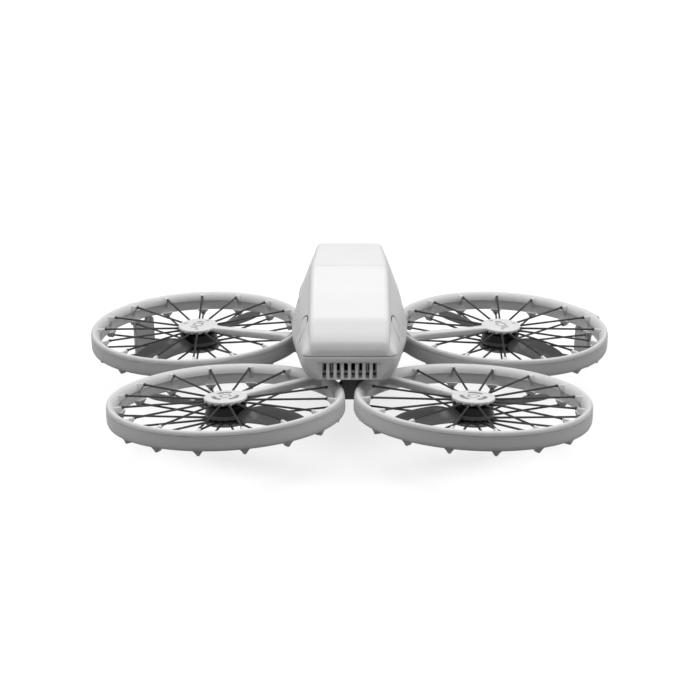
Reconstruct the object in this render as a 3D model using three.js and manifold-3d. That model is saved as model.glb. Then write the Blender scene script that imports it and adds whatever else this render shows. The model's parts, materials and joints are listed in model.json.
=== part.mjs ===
// Mini palm drone: a wedge-backed fuselage with four caged rotors on folding wings.
// Millimetres, +X to the drone's right, +Y to its nose, +Z up; the ground is z = 0.
import * as THREE from "three";
import { mergeVertices } from "three/addons/utils/BufferGeometryUtils.js";
import Module from "manifold-3d";

const wasm = await Module();
wasm.setup();

// ---- driving dimensions -------------------------------------------------------------
const gap = 0.3; // clearance between neighbouring pieces
const degree = Math.PI / 180;

// guard ring section
const ringRadius = 57.87;
const ringHeight = 9.6;
const lipWidth = 4.8;
const lipDrop = 4.2;
const ringSides = 32;

// wings: room beside and between the guards, hub heights, tilts and arm azimuths from above
const frontTrack = ringRadius + 24.23;
const rearTrack = ringRadius + 2.23;
const frontReach = ringRadius + 0.88;
const rearReach = ringRadius + 0.78;
const frontHeight = 32.2;
const rearHeight = 31.5;
const frontRoll = 1.87;
const rearRoll = 2.22;
const frontPitch = 2.23;
const rearPitch = -2.24;
const frontArmAngle = -21;
const rearArmAngle = { left: 34.8, right: 37.1 };

// spokes, their hooks and clips
const spokePitch = 22.5;
const spokeCount = 15;
const spokeSize = 1.1;
const spokeRadius = 0.55 * spokeSize; // across the corners of a four-sided bar
const hookLip = 2.77; // how far a hook stands in from the guard's inner wall
const hookRadius = ringRadius - lipWidth - hookLip;
const hookDepth = 3.9;
const hookWidth = 1.4;
const clipRadius = ringRadius - 5.47;
const clipDrop = 2.5;
const hookSeatZ = -1.1;
const clipSeatZ = -ringHeight - 1.3;
const collarRadius = 8.1;
const collarWidth = 1.3;

// hub, motor and rotor; heights are measured from the guard's crest
const shaftRadius = 1.2;
const bellRadius = 9.4;
const bellWall = 0.8;
const hubRadius = bellRadius + 1.2;
const hubThickness = 1.2;
const armWidth = 4.6;
const armDepth = 4.2;
const armStart = bellRadius;
const bellTop = -4.6;
const bellBottom = -10.5;
const collarRoom = 0.2;
const upperCollarZ = -gap - hubThickness - collarRoom - spokeSize / 2;
const lowerCollarZ = bellBottom - gap - spokeSize / 2;
const lowerHubZ = lowerCollarZ - spokeRadius - 0.05;
const lowerHubThickness = 0.75;
const lowerHubRadius = hubRadius + 0.1;
const rotorHubWidth = 1.3;
const rotorHubRise = { below: 2.2, above: 1.6 };
const bladeReach = hookRadius - 2.3;
const bladeRootChord = 8;
const bladeChord = 16.5;
const bladeThickness = 0.9;
const bladeZ = -7.6;
const bladeRootTwist = 20;
const bladeTipTwist = 8;
const bladeAngle = { rear_left: -38, rear_right: -142, front_left: -126, front_right: -54 };

// hinges that fold the wings down beside each other under the fuselage
const hingeReach = ringRadius + 3.63;
const stackOffset = { front: 30.8, rear: 17.3 }; // folded rim planes from the middle plane
const foldedLean = { front: 0, rear: -24 };
const barrelRadius = 2.8;
const barrelLength = 6.4;
const earThickness = 2;
const earLength = 9;
const earRoom = barrelRadius + 2.6;
const pinRadius = 1.2;
const pinSides = 10;
const lugWidth = 5;
const lugTop = -1.6;
const lugBottom = -ringHeight - 1.7;
const bracketFoot = { inner: 11.5, outer: 23.4, behind: 9, ahead: 7, low: 33.4 };
const blockFoot = { half: 12.5, reach: 9, low: 33.6 };

// landing legs under the outer front corners
const legWidth = 12.9;
const legThickness = 2.7;
const legRadius = ringRadius - 1.87;
const legAngle = { left: 128.5, right: 29.5 };
const legPadLength = 15;
const legPadReach = ringRadius + 3.43;
const legPadTop = -1;

// fuselage: each line runs from the tail to the nose
const tail = -55;
const nose = 78;
const topLine = [[tail, 54], [-53.6, 56.8], [-46.5, 63.9], [-44, 66], [-41.5, 67.3], [-22, 75.8], [0, 80.9],
  [25, 81.4], [45, 80.6], [58, 75], [68, 66], [75, 57.5], [nose, 52]];
const bottomLine = [[tail, 39.6], [-53.4, 37.6], [-48, 36.8], [-40, 36.5], [66, 36.5], [73, 40],
  [nose, 45.5]];
const sideLine = [[tail, 21.4], [-53.4, 22.9], [-44, 24.6], [-22, 27.2], [0, 29.2], [25, 30], [45, 29],
  [60, 25], [70, 20], [nose, 13]];
const sideHeightLine = [[tail, 50.5], [-22, 48], [0, 45], [25, 43], [60, 45], [nose, 48.5]];
const shoulderLine = [[tail, 19.2], [-44, 19.9], [0, 19.8], [25, 18.6], [45, 17.6], [60, 16], [nose, 9]];
const keelLine = [[tail, 15], [-44, 17.5], [0, 23], [45, 23], [66, 16], [nose, 6]];
const shoulderRadius = 3.2;
const shellWall = 1.8;
const topSeam = 0;
const rearSeam = 50;
const frontSeam = 40;

// tail grille
const slotCount = 8;
const slotPitch = 3.5;
const slotWidth = 1.9;
const slotLow = 38.6;
const slotHigh = 46.3;
const recessHalf = 15.2;
const recessDepth = 0.9;

// battery
const packHalf = 17;
const packLow = { back: -40, low: 52.2, high: 63 };
const packHigh = { back: -27, high: 71 };
const latchRadius = 6;
const latchY = -36;
const latchZ = 58.6;
const latchDepth = 2.6;
const latchTravel = 1.5;

// internals
const sinkHalf = 13.5;
const sinkBack = -50.5;
const sinkFront = -31;
const sinkLow = 40;
const sinkHigh = 47.6;
const finCount = 7;
const fanRadius = 12;
const fanY = -15;
const fanHigh = 46.5;
const boardHalf = 19;
const boardThickness = 1.2;
const boardZ = 43.5;

// underside
const plateTop = 36.2;
const bellyHalf = 10.5;
const bellyBack = -9;
const bellyFront = 48;
const bellyLow = 33.6;
const keelHalf = 3.7;
const keelLow = 20.5;

// nose window and controls
const windowHalf = 14;
const windowLow = 50.5;
const windowHigh = 63;
const windowBack = 64;
const buttonRadius = { power: 3, mode: 3.6 };
const buttonY = { power: 14, mode: 30 };
const buttonZ = 60;
const buttonDepth = 2.4;
const buttonProud = 0.5;
const coverWidth = 17;
const coverHeight = 8;
const coverThickness = 1.3;
const coverY = 24;
const coverZ = 55;

// gimbal and camera
const gimbalY = 66;
const gimbalTop = 36.2;
const mountThickness = 1.9;
const yawDiscRadius = 7;
const yawDiscThickness = 1.8;
const cameraY = 70;
const cameraZ = 20.5;
const cameraRadius = 8.2;
const cameraHalf = 9.5;
const barrelFront = 79.2;
const lensRadius = 5.2;
const rollDiscRadius = 6;
const rollDiscThickness = 2.8;
const backPlateThickness = 2.7;

// ---- materials ----------------------------------------------------------------------
const finish = (color, roughness, metalness = 0) =>
  new THREE.MeshStandardMaterial({ color, roughness, metalness });
const paleShell = finish(0xf0f0f1, 0.5);
const warmGuard = finish(0xe9e9ea, 0.55);
const carbonGrey = finish(0x47484a, 0.45);
const rotorGrey = finish(0x5a5b5d, 0.4);
const motorBlack = finish(0x151516, 0.35, 0.4);
const copper = finish(0x8a5426, 0.4, 0.8);
const darkPlastic = finish(0x3d3e40, 0.5);
const steel = finish(0xb5b7ba, 0.3, 0.9);
const circuitGreen = finish(0x1f4a35, 0.6);
const aluminium = finish(0x9b9ea2, 0.4, 0.9);
const cellFilm = finish(0x34495e, 0.5);
const glass = finish(0x0b0c10, 0.08);

// ---- solids -------------------------------------------------------------------------
function solid(geometry) {
  const bare = geometry.clone();
  for (const name of Object.keys(bare.attributes)) {
    if (name !== "position") bare.deleteAttribute(name);
  }
  const merged = mergeVertices(bare, 1e-4);
  const mesh = new wasm.Mesh({
    numProp: 3,
    vertProperties: new Float32Array(merged.attributes.position.array),
    triVerts: new Uint32Array(merged.index.array),
  });
  return new wasm.Manifold(mesh);
}

function geometryOf(body) {
  const mesh = body.getMesh();
  const geometry = new THREE.BufferGeometry();
  geometry.setAttribute("position", new THREE.BufferAttribute(mesh.vertProperties, 3));
  geometry.setIndex(new THREE.BufferAttribute(mesh.triVerts, 1));
  geometry.computeVertexNormals();
  return geometry;
}

const join = (...bodies) => bodies.reduce((whole, body) => whole.add(body));
const cut = (whole, ...bodies) => bodies.reduce((left, body) => left.subtract(body), whole);

function boxBetween(low, high, matrix) {
  const size = high.map((value, i) => value - low[i]);
  const geometry = new THREE.BoxGeometry(...size);
  geometry.translate(...low.map((value, i) => value + size[i] / 2));
  if (matrix) geometry.applyMatrix4(matrix);
  return solid(geometry);
}

// A round bar between two points.
function bar(from, to, radius, sides = 16, endRadius = radius) {
  const along = to.clone().sub(from);
  const geometry = new THREE.CylinderGeometry(endRadius, radius, along.length(), sides);
  const turn = new THREE.Quaternion().setFromUnitVectors(new THREE.Vector3(0, 1, 0), along.normalize());
  geometry.applyQuaternion(turn);
  geometry.translate(...from.clone().add(to).multiplyScalar(0.5).toArray());
  return solid(geometry);
}

const point = (x, y, z) => new THREE.Vector3(x, y, z);
const disc = (radius, low, high, sides = 24, x = 0, y = 0) =>
  bar(point(x, y, low), point(x, y, high), radius, sides);

// A ring turned about Z from a closed outline of (radius, height) points, one flat facing `facing`.
function turned(outline, sides, facing = 0) {
  const profile = [...outline, outline[0]].map(([r, z]) => new THREE.Vector2(r, z));
  const geometry = new THREE.LatheGeometry(profile, sides);
  geometry.rotateX(Math.PI / 2);
  geometry.rotateZ(facing + Math.PI / sides);
  return solid(geometry);
}

// A skin over sections that hold the same number of points, closed at both ends.
function loft(sections) {
  const count = sections[0].length;
  const positions = sections.flat().flatMap((p) => p.toArray());
  const faces = [];
  for (let s = 0; s + 1 < sections.length; s++) {
    for (let i = 0; i < count; i++) {
      const a = s * count + i;
      const b = s * count + ((i + 1) % count);
      faces.push(a, b, b + count, a, b + count, a + count);
    }
  }
  for (const [s, first, second] of [[0, 1, 0], [sections.length - 1, 0, 1]]) {
    for (let i = 1; i + 1 < count; i++) {
      faces.push(s * count, s * count + i + first, s * count + i + second);
    }
  }
  const geometry = new THREE.BufferGeometry();
  geometry.setAttribute("position", new THREE.Float32BufferAttribute(positions, 3));
  geometry.setIndex(faces);
  return solid(geometry);
}

function piece(name, body, material) {
  const mesh = new THREE.Mesh(geometryOf(body), material);
  mesh.name = name;
  return mesh;
}

// ---- wings --------------------------------------------------------------------------
// Where a wing sits, and the hinge that folds it until its rim plane faces sideways.
function wingLayout(row, side) {
  const isFront = row === "front";
  const sign = side === "left" ? -1 : 1;
  const track = isFront ? frontTrack : rearTrack;
  const reach = isFront ? frontReach : -rearReach;
  const height = isFront ? frontHeight : rearHeight;
  const roll = sign * (isFront ? frontRoll : rearRoll) * degree;
  const pitch = (isFront ? frontPitch : rearPitch) * degree;
  const inward = isFront ? frontArmAngle : rearArmAngle[side];
  const armAngle = (side === "left" ? inward : 180 - inward) * degree;
  const hub = point(sign * track, reach, height);
  const frame = new THREE.Matrix4().makeRotationFromEuler(new THREE.Euler(pitch, roll, 0, "YXZ"));
  const armOpen = point(Math.cos(armAngle), Math.sin(armAngle), 0).applyMatrix4(frame);
  const upOpen = point(0, 0, 1).applyMatrix4(frame);
  const lean = foldedLean[row] * degree;
  const armFolded = point(0, Math.sin(lean), Math.cos(lean));
  const upFolded = point(sign, 0, 0);
  const basis = (arm, up) => new THREE.Matrix4().makeBasis(arm, up.clone().cross(arm), up);
  const turn = basis(armFolded, upFolded).multiply(basis(armOpen, upOpen).transpose());
  const rotation = new THREE.Quaternion().setFromRotationMatrix(turn);
  const angle = 2 * Math.acos(rotation.w);
  const axis = point(rotation.x, rotation.y, rotation.z).normalize();
  const rimPoint = hub.clone().addScaledVector(armOpen, hingeReach);
  const drop = (stackOffset[row] - sign * rimPoint.x) / (1 - sign * upOpen.x);
  const hinge = rimPoint.addScaledVector(upOpen, -drop);
  frame.setPosition(hub);
  const toLocal = frame.clone().invert();
  const localHinge = hinge.clone().applyMatrix4(toLocal);
  const localAxis = axis.clone().transformDirection(toLocal);
  return { name: `${row}_${side}`, row, side, sign, hub, frame, armAngle, armOpen, armFolded,
    hinge, axis, angle, localHinge, localAxis };
}

const around = (angle, radius, z) => point(radius * Math.cos(angle), radius * Math.sin(angle), z);
const turnZ = (angle) => new THREE.Matrix4().makeRotationZ(angle);
const spokeAngles = (wing) =>
  Array.from({ length: spokeCount }, (_, k) => wing.armAngle + (k + 1) * spokePitch * degree);

// The guard's section: a domed lip over a straight inner wall, grown by a clearance.
function ringOutline(grow = 0) {
  const inner = ringRadius - lipWidth - grow;
  return [
    [inner, -ringHeight - grow], [ringRadius - 0.3 + grow, -ringHeight - grow],
    [ringRadius + grow, -0.9], [ringRadius - 1.2, grow],
    [ringRadius - 3.4 - grow, -1.4 + grow], [inner, -lipDrop],
  ];
}

function guardRing(wing) {
  let body = turned(ringOutline(), ringSides, wing.armAngle);
  const half = hookWidth / 2;
  const clipTop = 0.4 - ringHeight;
  for (const angle of spokeAngles(wing)) {
    const place = turnZ(angle);
    body = join(
      body,
      boxBetween([hookRadius, -half, -0.5 - hookDepth], [hookRadius + hookDepth, half, -0.5], place),
      boxBetween([clipRadius, -half, -ringHeight - clipDrop], [clipRadius + 3, half, clipTop], place),
    );
  }
  const lugEnd = Math.hypot(wing.localHinge.x, wing.localHinge.y);
  const lug = boxBetween(
    [ringRadius - 2, -lugWidth / 2, lugBottom], [lugEnd, lugWidth / 2, lugTop], turnZ(wing.armAngle));
  const halfBarrel = wing.localAxis.clone().multiplyScalar(barrelLength / 2);
  const [start, end] = [wing.localHinge.clone().sub(halfBarrel), wing.localHinge.clone().add(halfBarrel)];
  body = join(body, cut(lug, ...earZones(wing)), bar(start, end, barrelRadius, 12));
  if (wing.row === "front") {
    const pad = [
      [ringRadius - 2, -legPadLength / 2, 1 - ringHeight], [legPadReach, legPadLength / 2, legPadTop]];
    body = join(body, boxBetween(...pad, turnZ(legAngle[wing.side] * degree)));
  }
  const bore = wing.localAxis.clone().multiplyScalar(barrelLength);
  const [back, front] = [wing.localHinge.clone().sub(bore), wing.localHinge.clone().add(bore)];
  return cut(body, bar(back, front, pinRadius + gap, pinSides));
}

// The round spaces at both ends of a hinge barrel that its bracket's ears turn in.
function earZones({ localHinge, localAxis }) {
  return [-1, 1].map((end) => {
    const near = localHinge.clone().addScaledVector(localAxis, (end * barrelLength) / 2);
    const far = localHinge.clone().addScaledVector(localAxis, end * (barrelLength / 2 + 8));
    return bar(near, far, earRoom, 20);
  });
}

function hubArm(wing) {
  const top = -gap;
  const plate = disc(hubRadius, top - hubThickness, top, 24);
  const half = armWidth / 2;
  const end = ringRadius - 1.5;
  const section = [[-half, -armDepth * 0.35], [-half * 0.55, 0], [half * 0.55, 0], [half, -armDepth * 0.35],
    [half * 0.8, -armDepth], [-half * 0.8, -armDepth]];
  const place = turnZ(wing.armAngle);
  const ring = (r) => section.map(([y, z]) => point(r, y, z + top).applyMatrix4(place)).reverse();
  const arm = loft([ring(armStart), ring(end)]);
  const bridge = boxBetween(
    [armStart - 3, -half * 0.8, top - hubThickness], [armStart + 1, half * 0.8, top - 0.1], place);
  const clear = turned(ringOutline(gap), ringSides, wing.armAngle);
  return cut(join(plate, bridge, arm), clear, disc(shaftRadius + gap, -3, 1, 16));
}

function spokeSet(wing, collarZ, tipRadius, tipZ) {
  const inner = collarRadius - collarWidth / 2;
  const outer = collarRadius + collarWidth / 2;
  const low = collarZ - spokeSize / 2;
  const high = collarZ + spokeSize / 2;
  let body = turned([[inner, low], [outer, low], [outer, high], [inner, high]], 16, wing.armAngle);
  for (const angle of spokeAngles(wing)) {
    const from = around(angle, collarRadius, collarZ);
    const to = around(angle, tipRadius - gap, tipZ);
    body = join(body, bar(from, to, spokeRadius, 4));
  }
  return body;
}

function motorStator() {
  const wide = bellRadius - bellWall - gap;
  const neck = collarRadius - collarWidth / 2 - gap;
  return join(
    disc(neck, upperCollarZ - 1, -gap - hubThickness - gap, 16),
    disc(wide, bellBottom + 1.5, upperCollarZ - spokeSize / 2 - gap, 16),
    disc(shaftRadius, lowerHubZ + gap, -2, 8),
  );
}

function motorBell() {
  const inner = bellRadius - bellWall;
  const floor = bellBottom + 1.2;
  const bore = shaftRadius + gap;
  return turned([[bore, bellBottom], [bellRadius, bellBottom], [bellRadius, bellTop], [inner, bellTop],
    [inner, floor], [bore, floor]], 20);
}

// Two broad blades on a ring pressed round the bell.
function propeller(wing) {
  const inner = bellRadius + gap;
  const outer = inner + rotorHubWidth;
  const low = bladeZ - rotorHubRise.below;
  const high = bladeZ + rotorHubRise.above;
  let body = turned([[inner, low], [outer, low], [outer, high], [inner, high]], 16);
  const stations = [0, 0.12, 0.35, 0.7, 0.92, 1];
  const hand = (wing.row === "front") === (wing.side === "left") ? -1 : 1;
  for (const half of [0, Math.PI]) {
    const sections = stations.map((t) => {
      const r = THREE.MathUtils.lerp(inner + rotorHubWidth / 2, bladeReach, t);
      const swell = Math.sin(Math.PI * Math.min(1, 0.25 + t)) ** 0.5;
      const chord = t < 0.35 ? THREE.MathUtils.lerp(bladeRootChord, bladeChord, t / 0.35)
        : bladeChord * (0.45 + 0.55 * swell);
      const twist = THREE.MathUtils.lerp(bladeRootTwist, bladeTipTwist, t) * degree * hand;
      return [[-0.5, 0], [0, -0.5], [0.5, 0], [0, 0.5]].map(([along, across]) => {
        const c = along * chord;
        const h = across * bladeThickness;
        const y = c * Math.cos(twist) - h * Math.sin(twist);
        const z = bladeZ + c * Math.sin(twist) + h * Math.cos(twist);
        return point(r, y, z).applyAxisAngle(point(0, 0, 1), half);
      });
    });
    body = join(body, loft(sections));
  }
  return body;
}

const lowerHub = () => disc(lowerHubRadius, lowerHubZ - lowerHubThickness, lowerHubZ, 24);

function wingGroup(wing) {
  const group = new THREE.Group();
  group.applyMatrix4(wing.frame);
  group.userData = { hinge: wing.hinge, axis: wing.axis, angle: wing.angle };
  const rotor = piece(`${wing.name}_propeller`, propeller(wing), rotorGrey);
  rotor.rotation.z = bladeAngle[wing.name] * degree;
  group.add(
    piece(`${wing.name}_guard_ring`, guardRing(wing), warmGuard),
    piece(`${wing.name}_hub_arm`, hubArm(wing), paleShell),
    piece(`${wing.name}_upper_spokes`, spokeSet(wing, upperCollarZ, hookRadius, hookSeatZ), carbonGrey),
    piece(`${wing.name}_lower_spokes`, spokeSet(wing, lowerCollarZ, clipRadius, clipSeatZ), carbonGrey),
    piece(`${wing.name}_lower_hub`, lowerHub(), carbonGrey),
    piece(`${wing.name}_motor_stator`, motorStator(), copper),
    piece(`${wing.name}_motor_bell`, motorBell(), motorBlack),
    rotor,
  );
  return group;
}

// The leg hangs from the guard and is cut off level with the ground.
function landingLeg(wing) {
  const place = wing.frame.clone().multiply(turnZ(legAngle[wing.side] * degree));
  const inner = legRadius - legThickness / 2;
  const plate = boxBetween(
    [inner, -legWidth / 2, -frontHeight - 6],
    [inner + legThickness, legWidth / 2, -ringHeight - gap], place);
  return plate.intersect(boxBetween([-200, -200, 0], [200, 200, 60]));
}

// Two ears and a foot that hold a wing's hinge pin under the fuselage.
function hingeEars(wing) {
  const towards = wing.armOpen.clone().add(wing.armFolded);
  const up = towards.addScaledVector(wing.axis, -towards.dot(wing.axis)).normalize();
  const across = wing.axis.clone().cross(up);
  const ears = [-1, 1].map((end) => {
    const near = (end * barrelLength) / 2 + end * gap;
    const far = near + end * earThickness;
    const [low, high] = [Math.min(near, far), Math.max(near, far)];
    const frame = new THREE.Matrix4().makeBasis(wing.axis, up, across).setPosition(wing.hinge);
    const from = wing.hinge.clone().addScaledVector(wing.axis, near);
    const to = wing.hinge.clone().addScaledVector(wing.axis, far);
    const web = boxBetween([low, 0, -barrelRadius], [high, earLength, barrelRadius], frame);
    return join(bar(from, to, barrelRadius, 12), web);
  });
  return join(...ears).intersect(boxBetween([-80, -80, 0], [80, 120, plateTop]));
}

function pinHole(wing) {
  const reach = wing.axis.clone().multiplyScalar(barrelLength / 2 + gap + earThickness + 3);
  return bar(wing.hinge.clone().sub(reach), wing.hinge.clone().add(reach), pinRadius + gap, pinSides);
}

function hingePin(wing) {
  const reach = wing.axis.clone().multiplyScalar(barrelLength / 2 + gap + earThickness);
  return bar(wing.hinge.clone().sub(reach), wing.hinge.clone().add(reach), pinRadius, pinSides);
}

function frontBracket(wing) {
  const sides = [wing.sign * bracketFoot.inner, wing.sign * bracketFoot.outer];
  const foot = boxBetween(
    [Math.min(...sides), wing.hinge.y - bracketFoot.behind, bracketFoot.low],
    [Math.max(...sides), wing.hinge.y + bracketFoot.ahead, plateTop]);
  return cut(join(foot, hingeEars(wing)), pinHole(wing));
}

function rearHingeBlock(left, right) {
  const back = left.hinge.y - blockFoot.reach;
  const front = left.hinge.y + blockFoot.reach;
  const foot = boxBetween([-blockFoot.half, back, blockFoot.low], [blockFoot.half, front, plateTop]);
  const keel = boxBetween([-keelHalf, back, keelLow], [keelHalf, front, blockFoot.low + 0.9]);
  return cut(join(foot, keel, hingeEars(left), hingeEars(right)), pinHole(left), pinHole(right));
}

// ---- fuselage -----------------------------------------------------------------------
// A smooth line through a few points, read at any y.
function through(points) {
  return (y) => {
    const last = points.length - 2;
    const passed = points.filter(([at]) => at <= y).length;
    const i = Math.min(last, Math.max(0, passed - 1));
    const [y0, v0] = points[i];
    const [y1, v1] = points[i + 1];
    const slope = (a) => (points[a + 1][1] - points[a][1]) / (points[a + 1][0] - points[a][0]);
    const shared = (a, b) => (a * b > 0 ? (2 * a * b) / (a + b) : 0);
    const before = i > 0 ? shared(slope(i - 1), slope(i)) : slope(i);
    const after = i < last ? shared(slope(i + 1), slope(i)) : slope(i);
    const span = y1 - y0;
    const t = Math.min(1, Math.max(0, (y - y0) / span));
    const blend = 2 * t ** 3 - 3 * t ** 2;
    return (blend + 1) * v0 - blend * v1 + (t ** 3 - 2 * t ** 2 + t) * span * before
      + (t ** 3 - t ** 2) * span * after;
  };
}

const topAt = through(topLine);
const bottomAt = through(bottomLine);
const sideAt = through(sideLine);
const sideHeightAt = through(sideHeightLine);
const shoulderAt = through(shoulderLine);
const keelAt = through(keelLine);

// Half of a cross-section from the bottom middle up to the top middle, as [x, z] points.
function halfSection(y, inset) {
  const top = topAt(y) - inset;
  const bottom = bottomAt(y) + inset;
  const side = sideAt(y) - inset;
  const sideHeight = Math.min(sideHeightAt(y), top - shoulderRadius - 1);
  const shoulder = shoulderAt(y) - inset;
  const keel = keelAt(y) - inset;
  const points = [];
  for (let i = 0; i <= 4; i++) {
    const a = (i / 4) * 90 * degree;
    const rise = (sideHeight - bottom) * Math.cos(a) ** 0.85;
    points.push([keel + (side - keel) * Math.sin(a) ** 0.85, sideHeight - rise]);
  }
  const shoulderZ = top - shoulderRadius;
  for (const t of [0.35, 0.7]) {
    const bulge = 0.9 * Math.sin(Math.PI * t);
    const height = THREE.MathUtils.lerp(sideHeight, shoulderZ, t);
    points.push([THREE.MathUtils.lerp(side, shoulder, t) + bulge, height]);
  }
  for (let i = 0; i <= 3; i++) {
    const a = (i / 3) * 78 * degree;
    points.push([shoulder - shoulderRadius * (1 - Math.cos(a)), shoulderZ + shoulderRadius * Math.sin(a)]);
  }
  return points;
}

function fuselageSection(y, inset) {
  const right = halfSection(y, inset);
  const left = right.map(([x, z]) => [-x, z]).reverse();
  return [...right, ...left].map(([x, z]) => point(x, y, z)).reverse();
}

const stations = [-53.6, -50, -46.5, -44, -41.5, -32, -22, -11, 0, 25, 45, 52, 58, 63, 68, 73];

function fuselage(inset = 0) {
  const [back, front] = [tail + inset, nose - inset];
  const between = stations.filter((y) => y > back + 0.5 && y < front - 0.5);
  return loft([back, ...between, front].map((y) => fuselageSection(y, inset)));
}

// Half the fuselage's width at a place on its side, and the side's lean from upright.
function sideWall(y, z) {
  const half = halfSection(y, 0);
  const i = half.findIndex(([, height]) => height > z);
  const [[x0, z0], [x1, z1]] = [half[i - 1], half[i]];
  return { x: THREE.MathUtils.lerp(x0, x1, (z - z0) / (z1 - z0)), lean: Math.atan2(x0 - x1, z1 - z0) };
}

// A frame on the side wall: X points out of the wall, Z up along it.
function wallFrame(sign, y, z) {
  const { x, lean } = sideWall(y, z);
  const out = point(sign * Math.cos(lean), 0, Math.sin(lean));
  const up = point(-sign * Math.sin(lean), 0, Math.cos(lean));
  return new THREE.Matrix4().makeBasis(out, up.clone().cross(out), up).setPosition(sign * x, y, z);
}

const outer = fuselage();
const inner = fuselage(shellWall);
const everything = 200;
const slab = (y0, y1, z0, z1, half = everything) => boxBetween([-half, y0, z0], [half, y1, z1]);

function buttonBody(frame, radius, extra = 0) {
  const from = point(-buttonDepth - 2 * extra, 0, 0).applyMatrix4(frame);
  const to = point(buttonProud + 4 * extra, 0, 0).applyMatrix4(frame);
  return bar(from, to, radius + extra, 20);
}

const powerFrame = wallFrame(-1, buttonY.power, buttonZ);
const modeFrame = wallFrame(-1, buttonY.mode, buttonZ);
const coverFrame = wallFrame(1, coverY, coverZ);

const coverBox = (extra) => boxBetween(
  [-coverThickness - 4 * extra, -coverWidth / 2 - extra, -extra],
  [4 * extra, coverWidth / 2 + extra, coverHeight + extra], coverFrame);

function mainShell() {
  const region = slab(topSeam + gap / 2, everything, frontSeam + gap / 2, everything);
  const window = slab(windowBack - gap, everything, windowLow - gap, windowHigh + gap, windowHalf + gap);
  return cut(
    outer.intersect(region), inner, window,
    buttonBody(powerFrame, buttonRadius.power, gap), buttonBody(modeFrame, buttonRadius.mode, gap),
    coverBox(gap),
  );
}

function chassis() {
  const rear = slab(-everything, topSeam, 0, rearSeam - gap / 2);
  const front = slab(topSeam - 1, everything, 0, frontSeam - gap / 2);
  let body = cut(outer.intersect(join(rear, front)), inner);
  body = cut(body, slab(tail - 1, tail + recessDepth, slotLow - 0.8, slotHigh + 0.8, recessHalf));
  for (let i = 0; i < slotCount; i++) {
    const x = (i - (slotCount - 1) / 2) * slotPitch;
    const half = slotWidth / 2;
    body = cut(body, boxBetween([x - half, tail - 2, slotLow], [x + half, tail + 6, slotHigh]));
  }
  return body;
}

function packSpace(extra) {
  const front = topSeam - 1.4 + 6 * extra;
  const half = packHalf + extra;
  return join(
    slab(packLow.back - extra, front, packLow.low - extra, packLow.high + extra, half),
    slab(packHigh.back - extra, front, packLow.high - 1, packHigh.high + extra, half),
  );
}

function latchBar(sign, depth, radius) {
  const { x } = sideWall(latchY, latchZ);
  return bar(point(sign * (x - depth), latchY, latchZ), point(sign * (x + 6), latchY, latchZ), radius, 20);
}

const latch = (sign) => latchBar(sign, latchDepth, latchRadius);
const latchPocket = (sign) => latchBar(sign, latchDepth + latchTravel + gap, latchRadius + gap);

function batteryCase() {
  const region = slab(-everything, topSeam - gap / 2, rearSeam + gap / 2, everything);
  return cut(outer.intersect(region), packSpace(gap), latchPocket(-1), latchPocket(1));
}

function frontWindow() {
  const region = slab(windowBack, everything, windowLow, windowHigh, windowHalf);
  return cut(outer.intersect(region), fuselage(shellWall - 0.4));
}

// ---- internals ----------------------------------------------------------------------
function heatSink() {
  let body = slab(sinkBack, sinkFront, sinkLow, sinkLow + 1.6, sinkHalf);
  const pitch = (2 * sinkHalf - 1) / (finCount - 1);
  for (let i = 0; i < finCount; i++) {
    const x = -sinkHalf + 0.5 + i * pitch;
    body = join(body, boxBetween([x - 0.5, sinkBack, sinkLow + 1], [x + 0.5, sinkFront, sinkHigh]));
  }
  return body;
}

function fanImpeller() {
  let body = disc(4, sinkLow + 0.6, fanHigh, 16, 0, fanY);
  body = join(body, disc(fanRadius - 1, sinkLow + 0.6, sinkLow + 1.6, 24, 0, fanY));
  for (let i = 0; i < 9; i++) {
    const place = new THREE.Matrix4().makeTranslation(0, fanY, 0).multiply(turnZ((i / 9) * 2 * Math.PI));
    body = join(body, boxBetween([3, -0.4, sinkLow + 1], [fanRadius - 1.5, 0.4, fanHigh - 0.6], place));
  }
  return body;
}

function mainBoard() {
  const plate = slab(5, 52, boardZ, boardZ + boardThickness, boardHalf);
  const processor = slab(12, 28, boardZ + 1, boardZ + 3.4, 9);
  const radio = boxBetween([-15, 34, boardZ + 1], [2, 46, boardZ + 2.8]);
  const socket = boxBetween([11, coverY - 5, boardZ + 1], [boardHalf + 1, coverY + 5, boardZ + 4.6]);
  const connector = slab(1.2, 7, boardZ + 0.4, boardZ + 12, 9);
  return join(plate, processor, radio, socket, connector);
}

function bellyCover() {
  const body = slab(bellyBack, bellyFront, bellyLow, plateTop, bellyHalf);
  const lensHoles = [16, 38].map((y) => disc(3.2, bellyLow - 1, bellyLow + 1.2, 16, 0, y));
  return cut(body, ...lensHoles, boxBetween([-6, 24, bellyLow - 1], [6, 30, bellyLow + 0.8]));
}

// ---- gimbal -------------------------------------------------------------------------
const yawDiscTop = gimbalTop - mountThickness - gap;
const yawDiscLow = yawDiscTop - yawDiscThickness;
const rollDiscFront = cameraY - cameraRadius - 1.2;
const rollDiscBack = rollDiscFront - rollDiscThickness;
const backPlateFront = rollDiscBack - gap;
const backPlateBack = backPlateFront - backPlateThickness;

function gimbalMount() {
  return slab(gimbalY - 8, gimbalY + 1, gimbalTop - mountThickness, gimbalTop, 10);
}

function yawArm() {
  return join(
    disc(yawDiscRadius, yawDiscLow, yawDiscTop, 20, 0, gimbalY),
    slab(backPlateBack, gimbalY, yawDiscLow, yawDiscTop, 3.5),
    slab(backPlateBack, backPlateFront, cameraZ - 4, yawDiscTop, 3.5),
  );
}

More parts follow.
